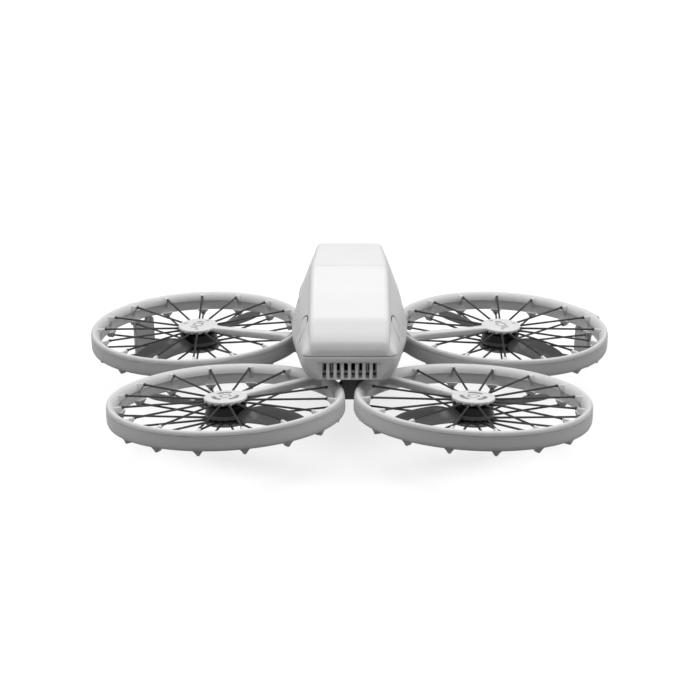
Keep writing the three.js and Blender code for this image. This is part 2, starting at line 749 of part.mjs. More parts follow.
function rollArm() {
  const side = cameraHalf + gap + 0.7;
  return join(
    bar(point(0, rollDiscBack, cameraZ), point(0, rollDiscFront, cameraZ), rollDiscRadius, 20),
    boxBetween([0, rollDiscBack, cameraZ - 3], [side + 2, rollDiscFront, cameraZ + 3]),
    boxBetween([side, rollDiscBack, cameraZ - 3.5], [side + 2.2, cameraY + 3.5, cameraZ + 3.5]),
  );
}

function cameraHousing() {
  const at = (x) => point(x, cameraY, cameraZ);
  const bevel = 2.6;
  const inFront = (y) => point(0, y, cameraZ);
  const barrel = bar(at(0), inFront(barrelFront), lensRadius + 1.4, 20);
  const seat = bar(inFront(barrelFront - 1), inFront(barrelFront + 2), lensRadius + gap, 20);
  const middle = cameraHalf - bevel;
  return cut(
    join(
      bar(at(-middle), at(middle), cameraRadius, 20), barrel,
      bar(at(middle - 0.1), at(cameraHalf), cameraRadius, 20, cameraRadius - bevel),
      bar(at(0.1 - middle), at(-cameraHalf), cameraRadius, 20, cameraRadius - bevel)),
    seat);
}

function cameraLens() {
  return bar(point(0, barrelFront - 0.7, cameraZ), point(0, barrelFront + 0.5, cameraZ), lensRadius, 20);
}

// ---- the drone ----------------------------------------------------------------------
const drone = new THREE.Group();
const layouts = {};
for (const row of ["front", "rear"]) {
  for (const side of ["left", "right"]) {
    const wing = wingLayout(row, side);
    layouts[wing.name] = wing;
    drone.add(wingGroup(wing), piece(`${wing.name}_hinge_pin`, hingePin(wing), steel));
  }
}

for (const side of ["left", "right"]) {
  const wing = layouts[`front_${side}`];
  const sign = side === "left" ? -1 : 1;
  drone.add(
    piece(`landing_leg_${side}`, landingLeg(wing), paleShell),
    piece(`front_hinge_bracket_${side}`, frontBracket(wing), darkPlastic),
    piece(`battery_latch_${side}`, latch(sign).intersect(outer), paleShell),
  );
}

drone.add(
  piece("battery_case", batteryCase(), paleShell),
  piece("battery_pack", packSpace(0), cellFilm),
  piece("main_shell", mainShell(), paleShell),
  piece("chassis", chassis(), paleShell),
  piece("rear_hinge_block", rearHingeBlock(layouts.rear_left, layouts.rear_right), darkPlastic),
  piece("heat_sink", heatSink(), aluminium),
  piece("fan_impeller", fanImpeller(), darkPlastic),
  piece("main_board", mainBoard(), circuitGreen),
  piece("belly_cover", bellyCover(), darkPlastic),
  piece("front_sensor_window", frontWindow(), glass),
  piece("power_button", buttonBody(powerFrame, buttonRadius.power), paleShell),
  piece("mode_button", buttonBody(modeFrame, buttonRadius.mode), paleShell),
  piece("port_cover", coverBox(0), paleShell),
  piece("gimbal_mount", gimbalMount(), darkPlastic),
  piece("gimbal_yaw_arm", yawArm(), darkPlastic),
  piece("gimbal_roll_arm", rollArm(), darkPlastic),
  piece("camera_housing", cameraHousing(), darkPlastic),
  piece("camera_lens", cameraLens(), glass),
);

export default drone;
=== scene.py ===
import json
import math

import bmesh
import bpy
from mathutils import Euler, Matrix, Vector


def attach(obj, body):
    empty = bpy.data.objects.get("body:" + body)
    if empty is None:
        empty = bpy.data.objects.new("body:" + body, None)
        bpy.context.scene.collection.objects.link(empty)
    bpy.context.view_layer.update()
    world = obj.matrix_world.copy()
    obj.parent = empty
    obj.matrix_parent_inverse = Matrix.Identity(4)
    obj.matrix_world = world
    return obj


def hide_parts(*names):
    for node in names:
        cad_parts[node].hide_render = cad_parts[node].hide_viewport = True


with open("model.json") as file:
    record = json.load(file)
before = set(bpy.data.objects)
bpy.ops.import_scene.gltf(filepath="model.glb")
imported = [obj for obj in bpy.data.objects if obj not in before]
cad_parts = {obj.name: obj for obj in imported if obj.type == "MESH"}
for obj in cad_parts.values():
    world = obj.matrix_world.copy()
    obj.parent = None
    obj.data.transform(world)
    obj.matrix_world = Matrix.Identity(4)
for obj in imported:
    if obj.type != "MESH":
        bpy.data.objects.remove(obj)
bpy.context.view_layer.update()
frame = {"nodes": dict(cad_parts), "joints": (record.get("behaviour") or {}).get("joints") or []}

millimetre = 0.001
print("frame loaded:", len(frame["nodes"]), "nodes")


class Wire:  # one socket, usable in arithmetic and as a node's input
    def __init__(self, graph, socket):
        self.graph = graph
        self.socket = socket

    def __getitem__(self, name):
        return Wire(self.graph, self.socket.node.outputs[name])

    def math(self, operation, first, second):
        return self.graph.math(operation, first, second)

    def __add__(self, other):
        return self.math("ADD", self, other)

    def __sub__(self, other):
        return self.math("SUBTRACT", self, other)

    def __rsub__(self, other):
        return self.math("SUBTRACT", other, self)

    def __mul__(self, other):
        return self.math("MULTIPLY", self, other)

    __radd__ = __add__
    __rmul__ = __mul__

    def above(self, limit):
        return self.math("GREATER_THAN", self, limit)


class Graph:
    def __init__(self, tree):
        self.tree = tree

    def math(self, operation, first, second):
        return self.node("ShaderNodeMath", {"operation": operation}, {0: first, 1: second})

    def node(self, kind, settings=None, values=None):
        made = self.tree.nodes.new(kind)
        for key, value in (settings or {}).items():
            if key == "stops":
                ramp = made.color_ramp.elements
                while len(ramp) < len(value):
                    ramp.new(0.5)
                for element, (at, shade) in zip(ramp, value):
                    element.position = at
                    element.color = shade
            else:
                setattr(made, key, value)
        for key, value in (values or {}).items():
            socket = made.inputs[key]
            if isinstance(value, Wire):
                self.tree.links.new(value.socket, socket)
            else:
                socket.default_value = value
        return Wire(self, made.outputs[0]) if made.outputs else None


def rgba(colour, factor=1.0):
    return tuple(min(1.0, channel * factor) for channel in colour) + (1.0,)


class Finish:  # a material under construction on object coordinates
    def __init__(self, name):
        self.material = bpy.data.materials.new(name)
        self.material.use_nodes = True
        self.graph = Graph(self.material.node_tree)
        self.shader = self.material.node_tree.nodes["Principled BSDF"]
        self.place = self.graph.node("ShaderNodeTexCoord")["Object"]

    def noise(self, scale, detail=3.0, roughness=0.5):
        return self.graph.node("ShaderNodeTexNoise", {}, {
            "Vector": self.place, "Scale": scale, "Detail": detail, "Roughness": roughness})

    def pebbles(self, scale):
        return self.graph.node("ShaderNodeTexVoronoi", {"feature": "F1"}, {
            "Vector": self.place, "Scale": scale, "Randomness": 1.0})

    def shades(self, factor, low, high):
        mixed = self.graph.node("ShaderNodeMix", {"data_type": "RGBA"}, {0: factor, 6: low, 7: high})
        return Wire(self.graph, mixed.socket.node.outputs[2])

    def bump(self, height, strength, distance):
        return self.graph.node("ShaderNodeBump", {}, {
            "Height": height, "Strength": strength, "Distance": distance})

    def give(self, **values):
        for key, value in values.items():
            socket = self.shader.inputs[key.replace("_", " ")]
            if isinstance(value, Wire):
                self.material.node_tree.links.new(value.socket, socket)
            else:
                socket.default_value = value
        return self.material


# Moulded plastic: a fine spark-eroded grain, faint clouding and handling marks.
def mouldedPlastic(name, colour, roughness, grain, specular=0.4, clouding=0.03, scuffs=0.0):
    finish = Finish(name)
    clouds = finish.noise(38.0, 4.0)
    fine = finish.noise(2600.0, 2.0, 0.6)
    pits = finish.pebbles(1900.0)
    streaks = finish.noise(210.0, 5.0, 0.7)
    base = finish.shades(clouds, rgba(colour, 1.0 - clouding), rgba(colour, 1.0 + clouding))
    worn = streaks.above(0.66) * scuffs
    height = fine * 0.6 + pits * 0.4
    return finish.give(
        Base_Color=finish.shades(worn, base, rgba(colour, 1.25)),
        Roughness=roughness - 0.05 + 0.07 * clouds + 0.05 * streaks,
        Normal=finish.bump(height, grain, 0.00008),
        Specular_IOR_Level=specular)


def brushedMetal(name, colour, roughness, stretch=(1.0, 1.0, 30.0), grain=0.25):
    finish = Finish(name)
    drawn = finish.graph.node("ShaderNodeMapping", {}, {"Vector": finish.place, "Scale": stretch})
    lines = finish.graph.node("ShaderNodeTexNoise", {}, {
        "Vector": drawn, "Scale": 900.0, "Detail": 3.0, "Roughness": 0.6})
    patches = finish.noise(120.0)
    return finish.give(
        Base_Color=finish.shades(patches, rgba(colour, 0.9), rgba(colour, 1.1)),
        Roughness=roughness - 0.06 + 0.14 * lines,
        Metallic=1.0,
        Normal=finish.bump(lines, grain, 0.00006))


def copperWire(name):
    finish = Finish(name)
    turns = finish.graph.node("ShaderNodeTexWave", {"bands_direction": "Z"}, {
        "Vector": finish.place, "Scale": 900.0, "Distortion": 0.6})
    patches = finish.noise(300.0)
    return finish.give(
        Base_Color=finish.shades(patches, (0.08, 0.03, 0.012, 1.0), (0.26, 0.1, 0.03, 1.0)),
        Roughness=0.28 + 0.15 * patches,
        Metallic=0.85,
        Normal=finish.bump(turns, 0.6, 0.00012))


def circuitBoard(name):
    finish = Finish(name)
    tracks = finish.graph.node("ShaderNodeTexBrick", {}, {
        "Vector": finish.place, "Scale": 260.0, "Color1": (0.01, 0.08, 0.04, 1.0),
        "Color2": (0.015, 0.11, 0.05, 1.0), "Mortar": (0.05, 0.2, 0.09, 1.0), "Mortar Size": 0.06})
    pads = finish.pebbles(420.0)
    return finish.give(Base_Color=tracks, Roughness=0.35 + 0.2 * pads, Normal=finish.bump(pads, 0.3, 0.0001))


def shrinkFilm(name):
    finish = Finish(name)
    creasesAndShade = finish.noise(90.0, 6.0, 0.75)
    # The colour follows the crease noise and is darker in the sunken folds: painted shade in the creases.
    return finish.give(
        Base_Color=finish.shades(creasesAndShade, (0.02, 0.05, 0.1, 1.0), (0.04, 0.08, 0.15, 1.0)),
        Roughness=0.25 + 0.2 * creasesAndShade,
        Normal=finish.bump(creasesAndShade, 0.35, 0.0003))


def smokedGlass(name):
    finish = Finish(name)
    film = finish.noise(60.0, 3.0)
    return finish.give(
        Base_Color=finish.shades(film, (0.004, 0.004, 0.008, 1.0), (0.012, 0.01, 0.02, 1.0)),
        Roughness=0.04 + 0.05 * film,
        Coat_Weight=0.6,
        Specular_IOR_Level=0.6)


finishes = {
    "shellWhite": mouldedPlastic("shellWhite", (0.76, 0.76, 0.765), 0.47, 0.16),
    "guardGrey": mouldedPlastic("guardGrey", (0.63, 0.63, 0.633), 0.5, 0.2),
    "hubWhite": mouldedPlastic("hubWhite", (0.68, 0.68, 0.678), 0.45, 0.14),
    "spokeGrey": mouldedPlastic("spokeGrey", (0.035, 0.035, 0.037), 0.4, 0.1, scuffs=0.15),
    "rotorGrey": mouldedPlastic("rotorGrey", (0.055, 0.055, 0.057), 0.34, 0.12, scuffs=0.1),
    "discGrey": mouldedPlastic("discGrey", (0.22, 0.22, 0.223), 0.42, 0.14, scuffs=0.1),
    "motorBlack": mouldedPlastic("motorBlack", (0.004, 0.004, 0.0044), 0.32, 0.06, 0.2),
    "hingeDark": mouldedPlastic("hingeDark", (0.05, 0.05, 0.052), 0.5, 0.2, scuffs=0.12),
    "gimbalBlack": mouldedPlastic("gimbalBlack", (0.025, 0.025, 0.027), 0.42, 0.15),
    # slotShade is painted shade: a near-black finish for pieces that stand in for the shadow in gaps and
    # slots.
    "slotShade": mouldedPlastic("slotShade", (0.09, 0.09, 0.092), 0.6, 0.1),
    "lockOrange": mouldedPlastic("lockOrange", (0.8, 0.16, 0.04), 0.45, 0.1),
    "pinSteel": brushedMetal("pinSteel", (0.62, 0.62, 0.64), 0.3),
    "sinkMetal": brushedMetal("sinkMetal", (0.2, 0.2, 0.205), 0.42, (30.0, 1.0, 1.0)),
    "coreSteel": brushedMetal("coreSteel", (0.3, 0.3, 0.31), 0.4, (1.0, 1.0, 60.0), 0.5),
    "copperWire": copperWire("copperWire"),
    "circuitBoard": circuitBoard("circuitBoard"),
    "shrinkFilm": shrinkFilm("shrinkFilm"),
    "smokedGlass": smokedGlass("smokedGlass"),
}
print("materials made:", len(finishes))


# Shapes are drawn in millimetres and placed in metres.
def meshObject(name, points, faces):
    mesh = bpy.data.meshes.new(name)
    mesh.from_pydata([tuple(p) for p in points], [], faces)
    piece = bpy.data.objects.new(name, mesh)
    bpy.context.scene.collection.objects.link(piece)
    return piece


def tidyMesh(piece, poles=False):
    work = bmesh.new()
    work.from_mesh(piece.data)
    bmesh.ops.remove_doubles(work, verts=work.verts, dist=1e-5)
    if poles:
        bmesh.ops.dissolve_degenerate(work, edges=work.edges, dist=1e-6)
    bmesh.ops.recalc_face_normals(work, faces=work.faces)
    work.to_mesh(piece.data)
    work.free()
    return piece


# Skins closed loops of equal length; the two ends are capped unless they meet.
def loft(name, loops, meets=False):
    count = len(loops[0])
    points = [p for loop in loops for p in loop]
    faces = []
    for i in range(len(loops) if meets else len(loops) - 1):
        here, there = i * count, ((i + 1) % len(loops)) * count
        for j in range(count):
            k = (j + 1) % count
            faces.append((here + j, here + k, there + k, there + j))
    if not meets:
        faces.append(tuple(range(count)))
        faces.append(tuple(range(len(points) - count, len(points))))
    return tidyMesh(meshObject(name, points, faces))


def lathe(name, profile, segments=96, closed=True):
    loops = []
    for i in range(segments):
        angle = 2 * math.pi * i / segments
        loops.append([(r * math.cos(angle), r * math.sin(angle), z) for r, z in profile])
    if closed:
        return loft(name, loops, meets=True)
    count = len(profile)
    points = [p for loop in loops for p in loop]
    faces = []
    for i in range(segments):
        here, there = i * count, ((i + 1) % segments) * count
        faces += [(here + j, here + j + 1, there + j + 1, there + j) for j in range(count - 1)]
    return tidyMesh(meshObject(name, points, faces), poles=True)


def prism(name, outline, low, high):
    loops = [[(x, y, low) for x, y in outline], [(x, y, high) for x, y in outline]]
    return loft(name, loops)


def block(name, low, high):
    outline = [(low[0], low[1]), (high[0], low[1]), (high[0], high[1]), (low[0], high[1])]
    return prism(name, outline, low[2], high[2])


def roundedOutline(width, height, radius, steps=6, centre=(0.0, 0.0)):
    outline = []
    for corner, (sx, sy) in enumerate([(1, 1), (-1, 1), (-1, -1), (1, -1)]):
        for i in range(steps + 1):
            angle = math.pi / 2 * (corner + i / steps)
            outline.append((
                centre[0] + sx * (width / 2 - radius) + radius * math.cos(angle),
                centre[1] + sy * (height / 2 - radius) + radius * math.sin(angle)))
    return outline


def circleOutline(radius, count=32):
    angles = [2 * math.pi * i / count for i in range(count)]
    return [(radius * math.cos(angle), radius * math.sin(angle)) for angle in angles]


def moved(piece, matrix):
    piece.data.transform(matrix)
    if matrix.determinant() < 0:
        piece.data.flip_normals()
    return piece


def merged(name, pieces):
    work = bmesh.new()
    for piece in pieces:
        work.from_mesh(piece.data)
        bpy.data.objects.remove(piece)
    mesh = bpy.data.meshes.new(name)
    work.to_mesh(mesh)
    work.free()
    whole = bpy.data.objects.new(name, mesh)
    bpy.context.scene.collection.objects.link(whole)
    return whole


def settle(piece):  # modifiers applied to a plain mesh
    name = piece.name
    graph = bpy.context.evaluated_depsgraph_get()
    mesh = bpy.data.meshes.new_from_object(piece.evaluated_get(graph))
    piece.modifiers.clear()
    old = piece.data
    piece.data = mesh
    bpy.data.meshes.remove(old)
    mesh.name = name
    return piece


def cutOut(piece, tools, keep="DIFFERENCE"):
    for tool in tools:
        cutter = piece.modifiers.new("cut", "BOOLEAN")
        cutter.object = tool
        cutter.operation = keep
        cutter.solver = "EXACT"
        settle(piece)
        bpy.data.objects.remove(tool)
    return piece


def dress(piece, body, finish, replaced=(), bevel=0.0, segments=2, smooth=35.0, angle=40.0):
    if bevel:
        edge = piece.modifiers.new("softEdges", "BEVEL")
        edge.width = bevel * millimetre
        edge.segments = segments
        edge.limit_method = "ANGLE"
        edge.angle_limit = math.radians(angle)
        edge.use_clamp_overlap = True
        settle(piece)
    piece.data.materials.clear()
    piece.data.materials.append(finishes[finish])
    piece.data.shade_smooth()
    piece.data.set_sharp_from_angle(angle=math.radians(smooth))
    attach(piece, body)
    if replaced:
        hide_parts(*replaced)
    return piece


inMetres = Matrix.Scale(millimetre, 4)


# A tree that repeats a shape: round an axis by Start and Step, or along a line by Pitch.
def repeatTree(name, inputs):
    tree = bpy.data.node_groups.new(name, "GeometryNodeTree")
    tree.interface.new_socket("Geometry", in_out="INPUT", socket_type="NodeSocketGeometry")
    for title, kind in inputs.items():
        tree.interface.new_socket(title, in_out="INPUT", socket_type="NodeSocket" + kind)
    tree.interface.new_socket("Geometry", in_out="OUTPUT", socket_type="NodeSocketGeometry")
    graph = Graph(tree)
    given = graph.node("NodeGroupInput")
    offset = given["Pitch"] if "Pitch" in inputs else (0.0, 0.0, 0.0)
    spread = {"Points": graph.node("GeometryNodeMeshLine", {}, {"Count": given["Count"], "Offset": offset}),
              "Instance": given["Geometry"]}
    if "Step" in inputs:
        index = graph.node("GeometryNodeInputIndex")
        turn = index * given["Step"] + given["Start"]
        spread["Rotation"] = graph.node("ShaderNodeCombineXYZ", {}, {"Z": turn})
    copies = graph.node("GeometryNodeInstanceOnPoints", {}, spread)
    solid = graph.node("GeometryNodeRealizeInstances", {}, {"Geometry": copies})
    done = graph.node("GeometryNodeSetMaterial", {}, {"Geometry": solid, "Material": given["Finish"]})
    graph.node("NodeGroupOutput", {}, {"Geometry": done})
    return tree


aroundTree = repeatTree("repeatAround", {
    "Count": "Int", "Step": "Float", "Start": "Float", "Finish": "Material"})
alongTree = repeatTree("repeatAlong", {"Count": "Int", "Pitch": "Vector", "Finish": "Material"})


def repeated(piece, tree, values):
    maker = piece.modifiers.new("repeat", "NODES")
    maker.node_group = tree
    for item in tree.interface.items_tree:
        if item.item_type == "SOCKET" and item.in_out == "INPUT" and item.name in values:
            maker[item.identifier] = values[item.name]
    return settle(piece)


def around(piece, count, step, start, finish):
    return repeated(piece, aroundTree, {
        "Count": count, "Step": step, "Start": start, "Finish": finishes[finish]})


def along(piece, count, pitch, finish):
    return repeated(piece, alongTree, {"Count": count, "Pitch": pitch, "Finish": finishes[finish]})


# Each wing: its hub, how the ring leans, and where its arm and its blades point.
wingPlan = {
    "rear_left": {"hub": (-60.1, -58.65, 31.5), "roll": -2.22, "pitch": -2.24,
                  "arm": 34.8, "blade": -38.0, "hand": 1},
    "rear_right": {"hub": (60.1, -58.65, 31.5), "roll": 2.22, "pitch": -2.24,
                   "arm": 142.9, "blade": -142.0, "hand": -1},
    "front_left": {"hub": (-82.1, 58.75, 32.2), "roll": -1.87, "pitch": 2.23,
                   "arm": -21.0, "blade": -126.0, "hand": -1},
    "front_right": {"hub": (82.1, 58.75, 32.2), "roll": 1.87, "pitch": 2.23,
                    "arm": 201.0, "blade": -54.0, "hand": 1},
}


def wingMatrix(plan):
    roll = Matrix.Rotation(math.radians(plan["roll"]), 4, "Y")
    pitch = Matrix.Rotation(math.radians(plan["pitch"]), 4, "X")
    return inMetres @ Matrix.Translation(plan["hub"]) @ (roll @ pitch)


spokePitch = math.radians(22.5)
spokeCount = 15


def firstSpoke(plan):
    return math.radians(plan["arm"]) + spokePitch


ring = {
    "radius": 57.87, "height": 9.6, "wall": 53.45, "lip": 53.05, "lipDrop": 4.2,
    "grooveHeight": 2.5, "grooveDepth": 0.62, "grooveWidth": 0.5, "segments": 180,
}


def ringProfile():
    r, h = ring["radius"], ring["height"]
    g, d, w = ring["grooveHeight"], ring["grooveDepth"], ring["grooveWidth"]
    profile = [(ring["wall"] + 0.3, -h), (r - 0.75, -h), (r - 0.4, -h + 0.12), (r - 0.24, -h + 0.45)]
    for i in range(5):
        t = i / 4
        z = -h + 1.0 + t * (h - g - w - 1.3)
        profile.append((r - 0.16 + 0.16 * math.sin(math.pi * (0.25 + 0.6 * t)), z))
    profile += [(r - 0.05, -g - w / 2), (r - d, -g - w / 4), (r - d, -g + w / 4), (r - 0.12, -g + w / 2)]
    profile += [(r - 0.2, -1.7), (r - 0.36, -1.05), (r - 0.62, -0.55), (r - 1.0, -0.2), (r - 1.45, -0.03),
                (r - 1.95, -0.1), (r - 2.5, -0.38), (r - 3.1, -0.85), (r - 3.7, -1.5), (r - 4.2, -2.3),
                (r - 4.6, -3.2)]
    profile += [(ring["lip"], -ring["lipDrop"]), (ring["lip"] + 0.12, -ring["lipDrop"] - 0.22),
                (ring["wall"], -ring["lipDrop"] - 0.3), (ring["wall"], -h + 0.3)]
    return profile


hook = {"inner": 50.2, "outer": 54.9, "width": 1.7, "top": -0.5, "nose": 0.9, "foot": -6.4}
clip = {"inner": 51.7, "outer": 56.4, "rootWidth": 6.4, "tipWidth": 1.8, "drop": 2.9}


def hookShape(name):  # a thin fin under the lip, with a rounded nose for the spoke
    loops = []
    for side, pinch in [(-0.5, 0.35), (-0.36, 0.0), (0.36, 0.0), (0.5, 0.35)]:
        y = side * hook["width"]
        inner, top = hook["inner"] + pinch, hook["top"] - pinch
        loops.append([(hook["outer"], y, top - 0.35), (inner + 0.5, y, top), (inner, y, top - 0.35),
                      (inner, y, top - hook["nose"]), (inner + 0.9, y, top - 1.9),
                      (inner + 2.2, y, top - 3.1), (hook["outer"] - 1.7, y, hook["foot"]),
                      (hook["outer"], y, hook["foot"])])
    return loft(name, loops)


def clipShape(name):  # a blunt tooth under the guard
    top, bottom = -ring["height"] + 0.5, -ring["height"] - clip["drop"]
    loops = []
    for t in (0.0, 0.3, 0.62, 0.85, 1.0):
        taper = math.sin(t * math.pi / 2) ** 1.2
        half = (clip["rootWidth"] + (clip["tipWidth"] - clip["rootWidth"]) * taper) / 2
        if t == 1.0:
            half *= 0.62
        inner = clip["inner"] + 0.5 * t
        outer = clip["outer"] - 0.9 * t
        z = top + (bottom - top) * t
        middle = ((inner + outer) / 2, 0.0)
        outline = roundedOutline(outer - inner, 2 * half, min(0.45, half * 0.6), 3, middle)
        loops.append([(x, y, z) for x, y in outline])
    return loft(name, loops)


neck = {"rootWidth": 30.0, "tipWidth": 5.2, "start": 55.4}


# The neck that carries the guard to its hinge: broad at the guard, narrow at the barrel.
def guardNeck(name, reach, drop):
    loops = []
    for i in range(9):
        t = i / 8
        r = neck["start"] + (reach - neck["start"]) * t
        ease = (1 - t) ** 2.2
        half = (neck["tipWidth"] + (neck["rootWidth"] - neck["tipWidth"]) * ease) / 2
        high = -0.9 - (drop - 3.2 - 0.9) * t ** 1.3
        low = -ring["height"] + 0.3 + (ring["height"] - 0.3 - drop - 2.6) * t ** 0.8
        corner = min(2.0, (high - low) * 0.35)
        outline = roundedOutline(2 * half, high - low, corner, 4, (0.0, (high + low) / 2))
        bend = [math.sqrt(max(0.0, ring["radius"] ** 2 - x * x)) - ring["radius"] for x, _ in outline]
        loops.append([(r + b * (1 - t), x, z) for (x, z), b in zip(outline, bend)])
    return loft(name, loops)


legPad = {"width": 16.5, "reach": 61.3, "high": -1.1, "low": -8.8, "blend": 26.0}
legAzimuth = {"left": 128.5, "right": 29.5}


# The swelling on a front guard that holds its landing leg.
def padShape(name):
    loops = []
    for i in range(9):
        t = i / 8
        r = ring["radius"] - 2.2 + (legPad["reach"] - ring["radius"] + 2.2) * t
        width = legPad["blend"] + (legPad["width"] - legPad["blend"]) * min(1.0, t * 1.5) ** 0.6
        shrink = 0.9 * max(0.0, t - 0.7) / 0.3
        high, low = legPad["high"] - shrink, legPad["low"] + shrink
        outline = roundedOutline(width - 2 * shrink, high - low, 1.6, 5, (0.0, (high + low) / 2))
        bend = [math.sqrt(r * r - x * x) for x, _ in outline]
        loops.append([(b, x, z) for (x, z), b in zip(outline, bend)])
    return loft(name, loops)


barrel = {"frontRadius": 5.1, "rearRadius": 2.75, "half": 3.15, "bore": 1.35}


def barrelShape(name, r, centre, axis):  # the knuckle that turns on the hinge pin
    h, b = barrel["half"], barrel["bore"]
    profile = [(b, -h), (r - 0.6, -h), (r - 0.18, -h + 0.18), (r, -h + 0.6),
               (r, h - 0.6), (r - 0.18, h - 0.18), (r - 0.6, h), (b, h)]
    knuckle = lathe(name, profile, 64)
    turn = Vector((0, 0, 1)).rotation_difference(axis).to_matrix().to_4x4()
    return moved(knuckle, Matrix.Translation(centre) @ turn)


for name, plan in wingPlan.items():
    place = wingMatrix(plan)
    arm = math.radians(plan["arm"])
    joint = next(j for j in frame["joints"] if j["name"] == name + "_fold")
    toLocal = place.inverted()
    hinge = toLocal @ Vector(joint["pos_m"])
    axis = (toLocal.to_3x3() @ Vector(joint["axis"])).normalized()
    parts = [lathe("ringBody", ringProfile(), ring["segments"])]
    band = guardNeck("neck", math.hypot(hinge.x, hinge.y), -hinge.z)
    parts.append(moved(band, Matrix.Rotation(arm, 4, "Z")))
    radius = barrel[name.split("_")[0] + "Radius"]
    parts.append(barrelShape("knuckle", radius, hinge, axis))
    if name.startswith("front"):
        legTurn = Matrix.Rotation(math.radians(legAzimuth[name.removeprefix("front_")]), 4, "Z")
        parts.append(moved(padShape("legPad"), legTurn))
    parts.append(around(hookShape("hooks"), spokeCount, spokePitch, firstSpoke(plan), "guardGrey"))
    parts.append(around(clipShape("clips"), spokeCount, spokePitch, firstSpoke(plan), "guardGrey"))
    guard = moved(merged(name + "_guard", parts), place)
    dress(guard, name + "_wing", "guardGrey", [name + "_guard_ring"], smooth=38)
print("guards made")


spoke = {"thickness": 1.12, "start": 9.3, "upperStart": -2.1, "upperEnd": -0.95, "upperReach": 50.6,
         "lowerStart": -11.4, "lowerEnd": -11.2, "lowerReach": 53.4,
         "collarInner": 7.48, "collarOuter": 9.52, "collarHalf": 0.45}


def spokeShape(name, reach, low, high):  # a moulded bar, flared at the hub, with a bead at its tip
    radius = spoke["thickness"] / 2
    stations = [(0.0, 1.7), (0.03, 1.35), (0.09, 1.0), (0.5, 0.92), (0.962, 0.95),
                (0.968, 1.25), (0.98, 1.45), (0.993, 1.4), (1.0, 0.9)]
    loops = []
    for t, swell in stations:
        x = spoke["start"] + (reach - spoke["start"]) * t
        z = low + (high - low) * t
        loops.append([(x, y * radius * swell, z + v * radius * swell) for y, v in circleOutline(1.0, 10)])
    return loft(name, loops)


def collarShape(name, height):
    inner, outer, h = spoke["collarInner"], spoke["collarOuter"], spoke["collarHalf"]
    profile = [(inner, height - h), (outer, height - h), (outer, height + h), (inner, height + h)]
    return lathe(name, profile, 64)


for name, plan in wingPlan.items():
    place = wingMatrix(plan)
    for level in ("upper", "lower"):
        low, high, reach = spoke[level + "Start"], spoke[level + "End"], spoke[level + "Reach"]
        bar = spokeShape("bars", reach, low, high)
        bars = around(bar, spokeCount, spokePitch, firstSpoke(plan), "spokeGrey")
        whole = merged(f"{name}_{level}Spokes", [bars, collarShape("collar", low)])
        moved(whole, place)
        dress(whole, name + "_wing", "spokeGrey", [f"{name}_{level}_spokes"], smooth=50)
print("spokes made")


hub = {"radius": 10.6, "top": -0.3, "edge": -2.35, "notches": 16, "notchDepth": 0.75,
       "slotInner": 4.6, "slotOuter": 6.9, "slotSweep": 56.0, "slotLow": -4.0, "slotHigh": 1.0, "turn": 3.0,
       "screwCircle": 7.6, "screwStep": 1.9, "screwRadius": 0.95, "recessRadius": 1.15}
lowerDisc = {"radius": 11.1, "top": -11.6, "edge": -12.95, "notches": 22, "notchDepth": 0.8, "crown": 0.12,
             "flip": -24.75}


def scallopedPlate(name, radius, top, bottom, notches, depth, crown=0.25):
    outline = []
    steps = notches * 10
    for i in range(steps):
        phase = (i % 10) / 10
        bite = depth if 0.32 < phase < 0.78 else (depth * 0.5 if phase in (0.3, 0.8) else 0.0)
        angle = 2 * math.pi * i / steps
        outline.append((math.cos(angle), math.sin(angle), bite))
    levels = [(top, 0.62, False), (top - 0.05, 0.9, False), (top - crown, 0.985, False),
              (top - 2 * crown, 1.0, False), (top - 1.25, 1.0, False), (top - 1.3, 1.0, True),
              (bottom, 1.0, True)]
    loops = []
    for z, share, bitten in levels:
        reach = [radius * share - (bite if bitten else 0.0) for _, _, bite in outline]
        loops.append([(x * r, y * r, z) for (x, y, _), r in zip(outline, reach)])
    return loft(name, loops)


def arcSlot(name, inner, outer, middle, sweep, low, high):
    steps = 14
    angles = [middle + math.radians(sweep) * (i / steps - 0.5) for i in range(steps + 1)]
    outline = [(outer * math.cos(a), outer * math.sin(a)) for a in angles]
    centre = (inner + outer) / 2
    cap = (outer - inner) / 2

    def roundEnd(at, start):
        for k in range(1, 6):
            turn = start + math.pi * k / 6
            outline.append((centre * math.cos(at) + cap * math.cos(turn),
                            centre * math.sin(at) + cap * math.sin(turn)))

    roundEnd(angles[-1], angles[-1])
    outline += [(inner * math.cos(a), inner * math.sin(a)) for a in reversed(angles)]
    roundEnd(angles[0], angles[0] + math.pi)
    return prism(name, outline, low, high)


armShape = {"start": 8.6, "end": 54.3, "width": 4.7, "depth": 4.3, "top": -0.28}


def armBar(name):  # a rounded bar that widens into the guard, with a fine groove near the hub
    loops = []
    a = armShape
    stations = [0.0, 0.04, 0.12, 0.185, 0.1875, 0.192, 0.1945, 0.25, 0.5, 0.75, 0.88, 0.94, 0.97, 1.0]
    for t in stations:
        r = a["start"] + (a["end"] - a["start"]) * t
        seam = 0.14 if t in (0.1875, 0.192) else 0.0
        wide = a["width"] * (0.92 + 0.1 * t) + 5.0 * max(0.0, t - 0.86) / 0.14 * max(0.0, t - 0.86) / 0.14
        wide += 1.6 * max(0.0, 0.12 - t) / 0.12
        deep = a["depth"] * (0.62 + 0.38 * min(1.0, t / 0.12))
        outline = roundedOutline(wide - 2 * seam, deep - 2 * seam, 1.45, 5, (0.0, a["top"] - deep / 2))
        loops.append([(r, x, z) for x, z in outline])
    return loft(name, loops)


